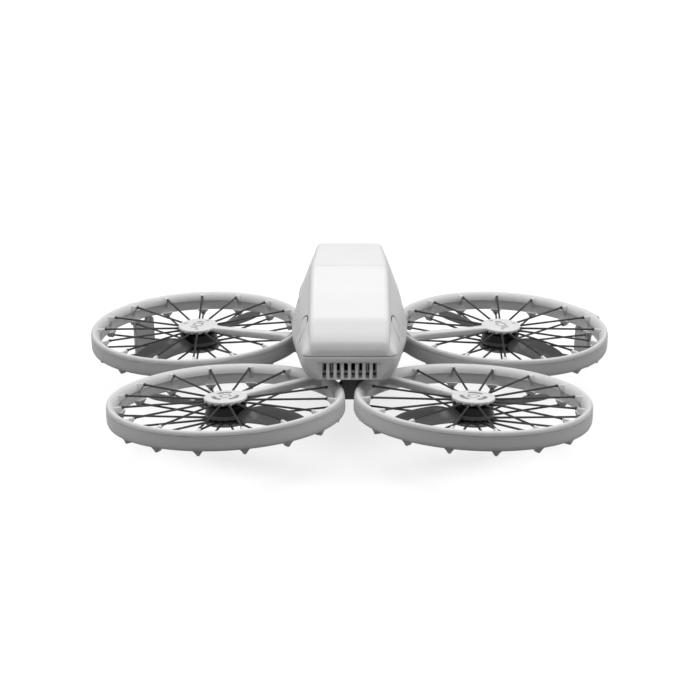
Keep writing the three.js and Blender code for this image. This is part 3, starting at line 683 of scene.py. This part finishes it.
def screwShape(name, radius, depth):  # a small cross-recess screw, head up at z = 0
    profile = [(0.0, -depth), (radius, -depth), (radius, -0.15), (radius * 0.8, 0.0), (0.0, 0.0)]
    head = lathe(name, profile, 24, closed=False)
    for turn in (0.0, math.pi / 2):
        groove = block("groove", (-radius * 0.62, -radius * 0.14, -0.28), (radius * 0.62, radius * 0.14, 0.5))
        cutOut(head, [moved(groove, Matrix.Rotation(turn, 4, "Z"))])
    return head


def screwPlace(back, k, z):  # one of the three screws round the hub, on the side away from the arm
    at = back + (k - 1) * hub["screwStep"]
    return Matrix.Translation((hub["screwCircle"] * math.cos(at), hub["screwCircle"] * math.sin(at), z))


for name, plan in wingPlan.items():
    place = wingMatrix(plan)
    arm = math.radians(plan["arm"])
    plate = scallopedPlate("plate", hub["radius"], hub["top"], hub["edge"], hub["notches"], hub["notchDepth"])
    moved(plate, Matrix.Rotation(arm + math.radians(hub["turn"]), 4, "Z"))
    low, high, back = hub["slotLow"], hub["slotHigh"], arm + math.pi
    tools = []
    if name.startswith("rear"):
        for k in range(3):
            middle = back + (k - 1) * 2.0
            tools.append(arcSlot("slot", hub["slotInner"], hub["slotOuter"], middle, hub["slotSweep"],
                                 low, high))
    else:
        for k in range(2):
            tools.append(arcSlot("slot", 4.0, 5.3, back + (k - 0.5) * 3.0, 40.0, low, high))
        for k in range(3):
            recess = prism("recess", circleOutline(hub["recessRadius"], 20), -1.0, 1.0)
            tools.append(moved(recess, screwPlace(back, k, 0.0)))
    tools.append(lathe("well", [(1.9, -1.4), (3.1, -1.4), (3.1, 1.0), (1.9, 1.0)], 40))
    cutOut(plate, tools)
    bar = moved(armBar("bar"), Matrix.Rotation(arm, 4, "Z"))
    parts = [plate, bar]
    if name.startswith("front"):
        for k in range(3):
            parts.append(moved(screwShape("screw", hub["screwRadius"], 0.5), screwPlace(back, k, -0.6)))
    whole = moved(merged(name + "_hubArm", parts), place)
    dress(whole, name + "_wing", "hubWhite", [name + "_hub_arm"], smooth=35)
    disc = scallopedPlate(name + "_lowerDisc", lowerDisc["radius"], lowerDisc["top"], lowerDisc["edge"],
                          lowerDisc["notches"], lowerDisc["notchDepth"], lowerDisc["crown"])
    flipped = Matrix.Translation((0, 0, lowerDisc["flip"])) @ Matrix.Rotation(math.pi, 4, "X")
    moved(disc, Matrix.Rotation(arm, 4, "Z") @ flipped)
    base = moved(disc, place)
    dress(base, name + "_wing", "discGrey", [name + "_lower_hub"], smooth=35)
print("hubs and arms made")


motor = {"bell": 10.0, "top": -3.6, "bottom": -10.6, "coils": 12}


def coilShape(name):  # one wound tooth: three stacked turns bulging from the stator
    loops = []
    for i in range(13):
        t = i / 12
        ridge = 0.16 * abs(math.sin(t * math.pi * 4))
        x = 4.4 + 3.6 * t
        outline = roundedOutline(2.0 + 0.5 * t + ridge, 4.6 + ridge, 0.85, 4, (0.0, -6.3))
        loops.append([(x, y, z) for y, z in outline])
    return loft(name, loops)


for name, plan in wingPlan.items():
    place = wingMatrix(plan)
    coils = around(coilShape("coils"), motor["coils"], 2 * math.pi / motor["coils"], 0.0, "copperWire")
    tubeProfile = [(0.0, -3.3), (7.0, -3.3), (7.15, -3.0), (7.15, -1.85), (0.0, -1.85)]
    neckTube = lathe("neckTube", tubeProfile, 48, closed=False)
    windings = moved(merged(name + "_windings", [coils]), place)
    dress(windings, name + "_wing", "copperWire", [name + "_motor_stator"], smooth=40)
    shaft = lathe("shaft", [(0.0, -12.2), (1.15, -12.2), (1.15, -3.2), (0.0, -3.2)], 24, closed=False)
    core = moved(merged(name + "_statorCore", [shaft, neckTube]), place)
    dress(core, name + "_wing", "coreSteel", smooth=35, bevel=0.08)
    r, top, bottom = motor["bell"], motor["top"], motor["bottom"]
    profile = [(1.45, bottom + 1.1), (1.45, bottom), (2.6, bottom), (3.0, bottom + 0.25),
               (7.4, bottom + 0.25), (7.9, bottom), (r - 0.7, bottom), (r - 0.2, bottom + 0.25),
               (r, bottom + 0.7), (r, bottom + 1.3), (r - 0.1, bottom + 1.4), (r - 0.1, bottom + 1.6),
               (r, bottom + 1.7), (r, top - 0.8), (r - 0.12, top - 0.7), (r - 0.12, top - 0.5),
               (r, top - 0.4), (r - 0.1, top - 0.05), (r - 0.25, top), (r - 0.75, top),
               (r - 0.8, top - 0.1), (r - 0.8, bottom + 1.2), (2.0, bottom + 1.1)]
    bell = moved(lathe(name + "_bell", profile, 96), place)
    dress(bell, name + "_rotor", "motorBlack", [name + "_motor_bell"], smooth=32)
print("motors made")


blade = {"root": 9.8, "tip": 48.6, "height": -7.6, "rootChord": 8.5, "chord": 16.6, "tipChord": 9.5,
         "rootTwist": 21.0, "tipTwist": 8.0, "thickness": 1.15, "kink": 0.2, "crease": 1.9, "sweep": 2.4}


def bladeShape(name, hand):
    loops = []
    b = blade
    count = 22
    for i in range(count + 1):
        t = i / count
        r = b["root"] + (b["tip"] - b["root"]) * t
        rise = min(1.0, t / b["kink"])
        chord = b["rootChord"] + (b["chord"] - b["rootChord"]) * math.sin(rise * math.pi / 2) ** 1.4
        if t > 0.62:
            fall = (t - 0.62) / 0.38
            chord = chord + (b["tipChord"] - b["chord"]) * fall ** 1.9
        if i == count:
            chord *= 0.62
        twist = math.radians(b["rootTwist"] + (b["tipTwist"] - b["rootTwist"]) * t ** 0.55) * hand
        fold = b["crease"] * math.exp(-((t - b["kink"]) / 0.045) ** 2)  # the raised crease at the root
        thick = b["thickness"] * (1.5 - 0.95 * t)
        sweep = b["sweep"] * math.sin(t * math.pi) * hand
        section = []
        for k in range(20):
            a = 2 * math.pi * k / 20
            across = 0.5 * math.cos(a)
            camber = 0.055 * chord * (1 - (2 * across) ** 2)
            body = math.sin(a) * thick / 2 * (1 - 0.35 * across * hand)
            crest = fold * max(0.0, 1 - abs(across + 0.1) * 3.2) if math.sin(a) > 0 else 0.0
            section.append((across * chord + sweep, camber + body + crest))
        c, s = math.cos(twist), math.sin(twist)
        loops.append([(r, u * c - v * s, b["height"] + u * s + v * c) for u, v in section])
    return loft(name, loops)


for name, plan in wingPlan.items():
    place = wingMatrix(plan)
    first = bladeShape("bladeA", plan["hand"])
    second = moved(bladeShape("bladeB", plan["hand"]), Matrix.Rotation(math.pi, 4, "Z"))
    collarProfile = [(9.5, -9.9), (10.2, -9.9), (10.35, -9.7), (10.35, -8.2), (10.2, -8.0), (9.5, -8.0)]
    collar = lathe("rotorCollar", collarProfile, 72)
    whole = merged(name + "_blades", [first, second, collar])
    moved(whole, place @ Matrix.Rotation(math.radians(plan["blade"]), 4, "Z"))
    dress(whole, name + "_rotor", "rotorGrey", [name + "_propeller"], smooth=55)
print("propellers made")


fuselage = {
    "tail": -55.0, "nose": 78.0, "topSeam": 0.0, "rearSeam": 50.0, "frontSeam": 40.0, "gap": 0.2, "wall": 1.7,
    "shoulder": 3.2, "endRound": 1.8,
}
topLine = [(-55, 54), (-53.6, 56.8), (-46.5, 63.9), (-44, 66), (-41.5, 67.3), (-22, 75.8), (0, 80.9),
           (25, 81.4), (45, 80.6), (58, 75), (68, 66), (75, 57.5), (78, 52)]
bottomLine = [(-55, 39.6), (-53.4, 37.6), (-48, 36.8), (-40, 36.5), (66, 36.5), (73, 40), (78, 45.5)]
sideLine = [(-55, 21.4), (-53.4, 22.9), (-44, 24.6), (-22, 27.2), (0, 29.2), (25, 30), (45, 29),
            (60, 25), (70, 20), (78, 13)]
sideHeightLine = [(-55, 50.5), (-22, 48), (0, 45), (25, 43), (60, 45), (78, 48.5)]
shoulderLine = [(-55, 19.2), (-44, 19.9), (0, 19.8), (25, 18.6), (45, 17.6), (60, 16), (78, 9)]
keelLine = [(-55, 15), (-44, 17.5), (0, 23), (45, 23), (66, 16), (78, 6)]


def through(points):  # a smooth line through a few points, without overshoot
    def slope(a):
        return (points[a + 1][1] - points[a][1]) / (points[a + 1][0] - points[a][0])

    def shared(a, b):
        return 2 * a * b / (a + b) if a * b > 0 else 0.0

    def read(y):
        last = len(points) - 2
        i = min(last, max(0, sum(1 for at, _ in points if at <= y) - 1))
        (y0, v0), (y1, v1) = points[i], points[i + 1]
        before = shared(slope(i - 1), slope(i)) if i > 0 else slope(i)
        after = shared(slope(i + 1), slope(i)) if i < last else slope(i)
        span = y1 - y0
        t = min(1.0, max(0.0, (y - y0) / span))
        ease = 2 * t ** 3 - 3 * t ** 2
        return ((ease + 1) * v0 - ease * v1 + (t ** 3 - 2 * t ** 2 + t) * span * before
                + (t ** 3 - t ** 2) * span * after)
    return read


topAt, bottomAt, sideAt = through(topLine), through(bottomLine), through(sideLine)
sideHeightAt, shoulderAt, keelAt = through(sideHeightLine), through(shoulderLine), through(keelLine)


def halfSection(y, inset=0.0):
    top, bottom = topAt(y) - inset, bottomAt(y) + inset
    side = sideAt(y) - inset
    radius = fuselage["shoulder"]
    sideHeight = min(sideHeightAt(y), top - radius - 1)
    shoulder, keel = shoulderAt(y) - inset, keelAt(y) - inset
    points = []
    for i in range(13):
        a = i / 12 * math.pi / 2
        points.append((keel + (side - keel) * math.sin(a) ** 0.85,
                       sideHeight - (sideHeight - bottom) * max(0.0, math.cos(a)) ** 0.85))
    shoulderZ = top - radius
    for i in range(1, 12):
        t = i / 12
        bulge = 0.9 * math.sin(math.pi * t)
        points.append((side + (shoulder - side) * t + bulge, sideHeight + (shoulderZ - sideHeight) * t))
    for i in range(9):
        a = i / 8 * math.radians(84)
        points.append((shoulder - radius * (1 - math.cos(a)), shoulderZ + radius * math.sin(a)))
    return points


def hull(name, inset=0.0):
    back, front = fuselage["tail"] + inset, fuselage["nose"] - inset
    soft = fuselage["endRound"]
    loops = []
    cuts = [back + soft * (1 - math.sin(math.pi / 2 * (6 - i) / 6)) for i in range(7)]
    middle = [back + soft + (front - back - 2 * soft) * i / 110 for i in range(1, 110)]
    ends = [front - soft * (1 - math.sin(math.pi / 2 * i / 6)) for i in range(7)]
    for y in cuts + middle + ends:
        near = min(y - back, front - y)
        pull = soft * (1 - math.sqrt(max(0.0, 1 - (1 - near / soft) ** 2))) if near < soft else 0.0
        right = halfSection(y, inset + pull * 0.8)
        left = [(-x, z) for x, z in reversed(right)]
        loops.append([(x, y, z) for x, z in right + left])
    return loft(name, loops)


def slab(name, y0, y1, z0, z1, half=200.0):
    return block(name, (-half, y0, z0), (half, y1, z1))


def sideWall(y, z):
    half = halfSection(y)
    i = next(k for k, (_, height) in enumerate(half) if height > z)
    (x0, z0), (x1, z1) = half[i - 1], half[i]
    return x0 + (x1 - x0) * (z - z0) / (z1 - z0), math.atan2(x0 - x1, z1 - z0)


def wallMatrix(sign, y, z):  # X points out of the wall and Z up along it
    x, lean = sideWall(y, z)
    out = Vector((sign * math.cos(lean), 0.0, math.sin(lean)))
    up = Vector((-sign * math.sin(lean), 0.0, math.cos(lean)))
    turn = Matrix((out, up.cross(out), up)).transposed().to_4x4()
    return Matrix.Translation((sign * x, y, z)) @ turn


alongX = Matrix.Rotation(math.pi / 2, 4, "Y")


def shellOf(name, keep, tools, inner=True):
    shell = cutOut(hull(name), [keep], "INTERSECT")
    return cutOut(shell, ([hull("hollow", fuselage["wall"])] if inner else []) + tools)


grille = {"slots": 8, "pitch": 3.5, "width": 1.9, "low": 38.2, "high": 46.3, "half": 15.6,
          "depth": 1.1, "border": 0.75}
latchPlan = {"radius": 5.6, "y": -36.0, "z": 58.6, "depth": 2.6, "travel": 1.5, "moat": 0.9}
keys = {"power": {"y": 14.0, "radius": 3.0}, "mode": {"y": 30.0, "radius": 3.6}}
keyHeight, keyGap = 60.0, 0.25
window = {"half": 14.0, "low": 50.5, "high": 63.0, "back": 64.0}
leg = {"width": 12.9, "thickness": 2.7, "radius": 56.0, "top": -9.9, "lobe": 2.2, "lobeOffset": 3.9,
       "pinHole": 0.8}
cover = {"width": 17.0, "height": 8.0, "thickness": 1.3, "y": 24.0, "z": 55.0}


def keyCutter(frameMatrix, radius, low=-4.0, high=3.0):
    return moved(prism("keyCut", circleOutline(radius, 48), low, high), frameMatrix @ alongX)


powerPlace, modePlace = [wallMatrix(-1, keys[key]["y"], keyHeight) for key in ("power", "mode")]
coverPlace = wallMatrix(1, cover["y"], cover["z"])


def coverBlock(name, grow):
    outline = roundedOutline(cover["width"] + 2 * grow, cover["height"] + 2 * grow, 1.6, 6)
    raised = [(y, z + cover["height"] / 2) for y, z in outline]
    plate = prism(name, raised, -cover["thickness"] - 4 * grow, 8 * grow)
    turn = Matrix(((0, 0, 1, 0), (1, 0, 0, 0), (0, 1, 0, 0), (0, 0, 0, 1)))
    return moved(plate, coverPlace @ turn)


g = fuselage["gap"]
windowOutline = roundedOutline(2 * window["half"] + 0.6, window["high"] - window["low"] + 0.6, 3.2, 6,
                               (0.0, (window["high"] + window["low"]) / 2))
upright = Matrix(((1, 0, 0, 0), (0, 0, -1, 0), (0, 1, 0, 0), (0, 0, 0, 1)))  # outline's second axis becomes Z
topShell = shellOf("topShell", slab("keep", fuselage["topSeam"] + g, 200, fuselage["frontSeam"] + g, 200), [
    moved(prism("windowCut", windowOutline, -200, -window["back"] + 0.3), upright),
    keyCutter(powerPlace, keys["power"]["radius"] + keyGap),
    keyCutter(modePlace, keys["mode"]["radius"] + keyGap),
    coverBlock("coverCut", 0.25)])
moved(topShell, inMetres)
dress(topShell, "fuselage", "shellWhite", ["main_shell"], bevel=0.22, angle=50, smooth=38)
print("top shell made")

tubKeep = slab("keep", -200, fuselage["topSeam"], 0, fuselage["rearSeam"] - g)
frontKeep = slab("keepB", fuselage["topSeam"] - 1.0, 200, 0, fuselage["frontSeam"] - g)
recess = roundedOutline(2 * grille["half"], grille["high"] - grille["low"] + 2 * grille["border"], 1.1, 5,
                        (0.0, (grille["high"] + grille["low"]) / 2))
tub = cutOut(hull("tub"), [cutOut(tubKeep, [frontKeep], "UNION")], "INTERSECT")
tub = cutOut(tub, [hull("hollow", fuselage["wall"])])
tub = cutOut(tub, [moved(prism("recess", recess, -fuselage["tail"] - grille["depth"], 80.0), upright)])
firstSlot = -(grille["slots"] - 1) / 2 * grille["pitch"]
slotOutline = roundedOutline(grille["width"], grille["high"] - grille["low"], 0.35, 4,
                             (firstSlot, (grille["high"] + grille["low"]) / 2))
slotShape = moved(prism("slots", slotOutline, -fuselage["tail"] - 6, 80.0), upright)
tub = cutOut(tub, [along(slotShape, grille["slots"], (grille["pitch"], 0.0, 0.0), "slotShade")])
tub.name = "chassisTub"
moved(tub, inMetres)
dress(tub, "fuselage", "shellWhite", ["chassis"], bevel=0.2, angle=50, smooth=38)
print("chassis made")

packCut = [slab("packA", -40.3, 3, 51.9, 63.3, 17.3), slab("packB", -27.3, 3, 62, 71.3, 17.3)]
latchTurns = {"left": Matrix.Rotation(-math.pi / 2, 4, "Y"), "right": alongX}
latchX, _ = sideWall(latchPlan["y"], latchPlan["z"])
latchOut = latchX + 6
r, moat = latchPlan["radius"], latchPlan["moat"]


def latchMatrix(side, drop=0.0):
    return Matrix.Translation((0, latchPlan["y"], latchPlan["z"] - drop)) @ latchTurns[side]


# A latch part is trimmed to lie at its own depth under the battery's skin.
def trimmed(piece, side, depth=0.0, drop=0.0):
    moved(piece, latchMatrix(side, drop))
    cutOut(piece, [hull("trim", depth)], "INTERSECT")
    return moved(piece, inMetres)


latchCuts = []
for side in latchTurns:
    pocketFloor = latchX - latchPlan["depth"] - latchPlan["travel"] - 0.3
    tool = prism("latchCut", circleOutline(r + moat, 56), pocketFloor, latchOut)
    latchCuts.append(moved(tool, latchMatrix(side)))
batteryKeep = slab("keep", -200, fuselage["topSeam"] - g, fuselage["rearSeam"] + g, 200)
battery = shellOf("batteryShell", batteryKeep, packCut + latchCuts, False)
moved(battery, inMetres)
dress(battery, "battery", "shellWhite", ["battery_case"], bevel=0.25, angle=50, smooth=38)
for side in latchTurns:
    # Painted shade: a dark ring laid in the gap round each latch button stands in for the shadow in that gap.
    inner, outer = r + 0.2, r + moat - 0.08
    gapShadeProfile = [(inner, latchX - 3.5), (outer, latchX - 3.5), (outer, latchOut), (inner, latchOut)]
    seat = trimmed(lathe("latchSeat_" + side, gapShadeProfile, 56), side, depth=0.8)
    dress(seat, "battery", "slotShade", smooth=40)
    mark = prism("latchMark_" + side, roundedOutline(0.4, 1.6, 0.15, 4), latchX - 1.5, latchOut)
    trimmed(mark, side, depth=0.35, drop=r + moat - 0.25)
    dress(mark, "battery", "lockOrange", smooth=40)
    button = prism("latchButton_" + side, circleOutline(r, 64), latchX - latchPlan["depth"], latchOut)
    trimmed(button, side)
    dress(button, "latch_" + side, "shellWhite", ["battery_latch_" + side],
          bevel=0.3, segments=3, angle=50)
print("battery made")


for name, place in (("power", powerPlace), ("mode", modePlace)):
    radius = keys[name]["radius"]
    profile = [(0.0, -2.4), (radius, -2.4), (radius, 0.1), (radius - 0.15, 0.35), (radius - 0.5, 0.48),
               (radius * 0.55, 0.36), (0.0, 0.3)]
    key = lathe(name + "Key", profile, 56, closed=False)
    moved(key, inMetres @ place @ alongX)
    dress(key, name + "_key", "shellWhite", [name + "_button"], smooth=40)
coverPiece = moved(coverBlock("portCoverPlate", 0.0), inMetres)
dress(coverPiece, "port_door", "shellWhite", ["port_cover"], bevel=0.25, segments=3, angle=50)
for side, azimuth in legAzimuth.items():  # a leaf with two pierced knuckles at the top, cut off at the ground
    half, seat = leg["thickness"] / 2, leg["top"] - leg["lobe"]
    leaf = prism("landingLeg_" + side, roundedOutline(leg["thickness"], leg["width"], 0.8, 5), -60.0, seat)
    lobes, holes = [], []
    for offset in (-leg["lobeOffset"], leg["lobeOffset"]):
        middle = Matrix.Translation((0, offset, seat)) @ alongX
        lobes.append(moved(prism("lobe", circleOutline(leg["lobe"], 40), -half, half), middle))
        holes.append(moved(prism("pinHole", circleOutline(leg["pinHole"], 24), -half - 1, half + 1), middle))
    cutOut(cutOut(leaf, lobes, "UNION"), holes)
    spot = inMetres.inverted() @ wingMatrix(wingPlan["front_" + side])
    spot = spot @ Matrix.Rotation(math.radians(azimuth), 4, "Z")
    moved(leaf, spot @ Matrix.Translation((leg["radius"], 0, 0)))
    cutOut(leaf, [slab("ground", -300, 300, -100, 0.0, 300)])
    moved(leaf, inMetres)
    dress(leaf, f"front_{side}_wing", "guardGrey", ["landing_leg_" + side],
          bevel=0.25, segments=3, angle=50)
glassOutline = roundedOutline(2 * window["half"], window["high"] - window["low"], 3.0, 8,
                              (0.0, (window["high"] + window["low"]) / 2))
glassKeep = moved(prism("keep", glassOutline, -200, -window["back"]), upright)
glassPane = cutOut(hull("frontWindow"), [glassKeep], "INTERSECT")
cutOut(glassPane, [hull("hollow", 1.4)])
moved(glassPane, inMetres)
dress(glassPane, "fuselage", "smokedGlass", ["front_sensor_window"], bevel=0.2, angle=50)

# Plain parts: their flat faces are joined up and every edge is rounded by the last value.
plainParts = {
    "heat_sink": ("fuselage", "sink_metal", "sinkMetal", 0.12),
    "fan_impeller": ("fan", "dark_plastic", "gimbalBlack", 0.12),
    "main_board": ("fuselage", "board_green", "circuitBoard", 0.1),
    "battery_pack": ("battery", "cell_film", "shrinkFilm", 0.8),
    "belly_cover": ("fuselage", "dark_plastic", "hingeDark", 0.35),
    "gimbal_mount": ("fuselage", "dark_plastic", "gimbalBlack", 0.4),
    "gimbal_yaw_arm": ("gimbal_yaw", "dark_plastic", "gimbalBlack", 0.5),
    "gimbal_roll_arm": ("gimbal_roll", "dark_plastic", "gimbalBlack", 0.5),
    "camera_housing": ("camera", "dark_plastic", "gimbalBlack", 0.6),
    "camera_lens": ("camera", "glass_dark", "smokedGlass", 0.3),
    "rear_hinge_block": ("fuselage", "dark_plastic", "hingeDark", 0.5),
}
for side in legAzimuth:
    plainParts["front_hinge_bracket_" + side] = ("fuselage", "dark_plastic", "hingeDark", 0.35)
for name in wingPlan:
    plainParts[name + "_hinge_pin"] = ("fuselage", "pin_steel", "pinSteel", 0.2)
for node, (body, slot, finish, bevel) in plainParts.items():
    work = bmesh.new()
    work.from_mesh(frame["nodes"][node].data)
    bmesh.ops.remove_doubles(work, verts=work.verts, dist=1e-6)
    bmesh.ops.dissolve_limit(work, angle_limit=math.radians(1.0), verts=work.verts, edges=work.edges)
    mesh = bpy.data.meshes.new(node + "_soft")
    work.to_mesh(mesh)
    work.free()
    soft = bpy.data.objects.new(node + "_soft", mesh)
    bpy.context.scene.collection.objects.link(soft)
    dress(soft, body, finish, [node], bevel=bevel, segments=3, angle=30, smooth=40)
print("fuselage made")


studio = {"sky": 0.45, "skyFall": 2.0, "walls": 0.19, "floorShade": 0.3, "floorGlow": 0.72,
          "top": 2.4, "side": 1.05, "back": 0.42}
floor = meshObject("floor", [(-9, -9, 0), (9, -9, 0), (9, 9, 0), (-9, 9, 0)], [(0, 1, 2, 3)])
floorFinish = Finish("paleFloor")
paper = floorFinish.noise(140.0, 2.0)
floorGrey = (studio["floorShade"],) * 3
floor.data.materials.append(floorFinish.give(
    Base_Color=floorFinish.shades(paper, rgba(floorGrey, 0.99), rgba(floorGrey, 1.01)),
    Roughness=0.9, Specular_IOR_Level=0.0,
    Emission_Color=(1.0, 1.0, 1.0, 1.0), Emission_Strength=studio["floorGlow"]))  # keeps the shadow faint
floor.visible_diffuse = False  # the floor throws no light back up, as over a dark studio base

world = bpy.data.worlds.new("studio")  # a bright ceiling that fades towards the walls
world.use_nodes = True
sky = Graph(world.node_tree)
height = sky.node("ShaderNodeSeparateXYZ", {}, {"Vector": sky.node("ShaderNodeTexCoord")["Generated"]})["Z"]
ceiling = sky.math("POWER", sky.math("MAXIMUM", height, 0.0), studio["skyFall"])
light = ceiling * studio["sky"] + studio["walls"]
world.node_tree.links.new(light.socket, world.node_tree.nodes["Background"].inputs["Strength"])
bpy.context.scene.world = world
bpy.context.scene.view_settings.view_transform = "Standard"


def softSun(name, strength, spread, direction):
    lamp = bpy.data.lights.new(name, "SUN")
    lamp.energy = strength
    lamp.angle = math.radians(spread)
    holder = bpy.data.objects.new(name, lamp)
    holder.rotation_euler = Vector(direction).to_track_quat("-Z", "Y").to_euler()
    bpy.context.scene.collection.objects.link(holder)


softSun("topSun", studio["top"], 70.0, (0.0, -0.14, -1.0))
softSun("leftSun", studio["side"], 60.0, (0.77, 0.0, -0.64))
softSun("rightSun", studio["side"], 60.0, (-0.77, 0.0, -0.64))
softSun("backSun", studio["back"], 60.0, (0.0, 0.82, -0.57))

view = {"tilt": 17.588, "place": (0.0, -0.94688, 0.33535), "lens": 99.68, "shiftX": 0.0007, "shiftY": 0.002}
camera = bpy.data.cameras.new("camera")
camera.sensor_fit = "HORIZONTAL"
camera.sensor_width = 36.0
camera.lens = view["lens"]
camera.shift_x = view["shiftX"]
camera.shift_y = view["shiftY"]
camera.clip_start = 0.05
camera.clip_end = 60.0
cameraHolder = bpy.data.objects.new("camera", camera)
cameraHolder.location = view["place"]
cameraHolder.rotation_euler = Euler((math.radians(90 - view["tilt"]), 0.0, 0.0))
bpy.context.scene.collection.objects.link(cameraHolder)
bpy.context.scene.camera = cameraHolder
print("stage made")
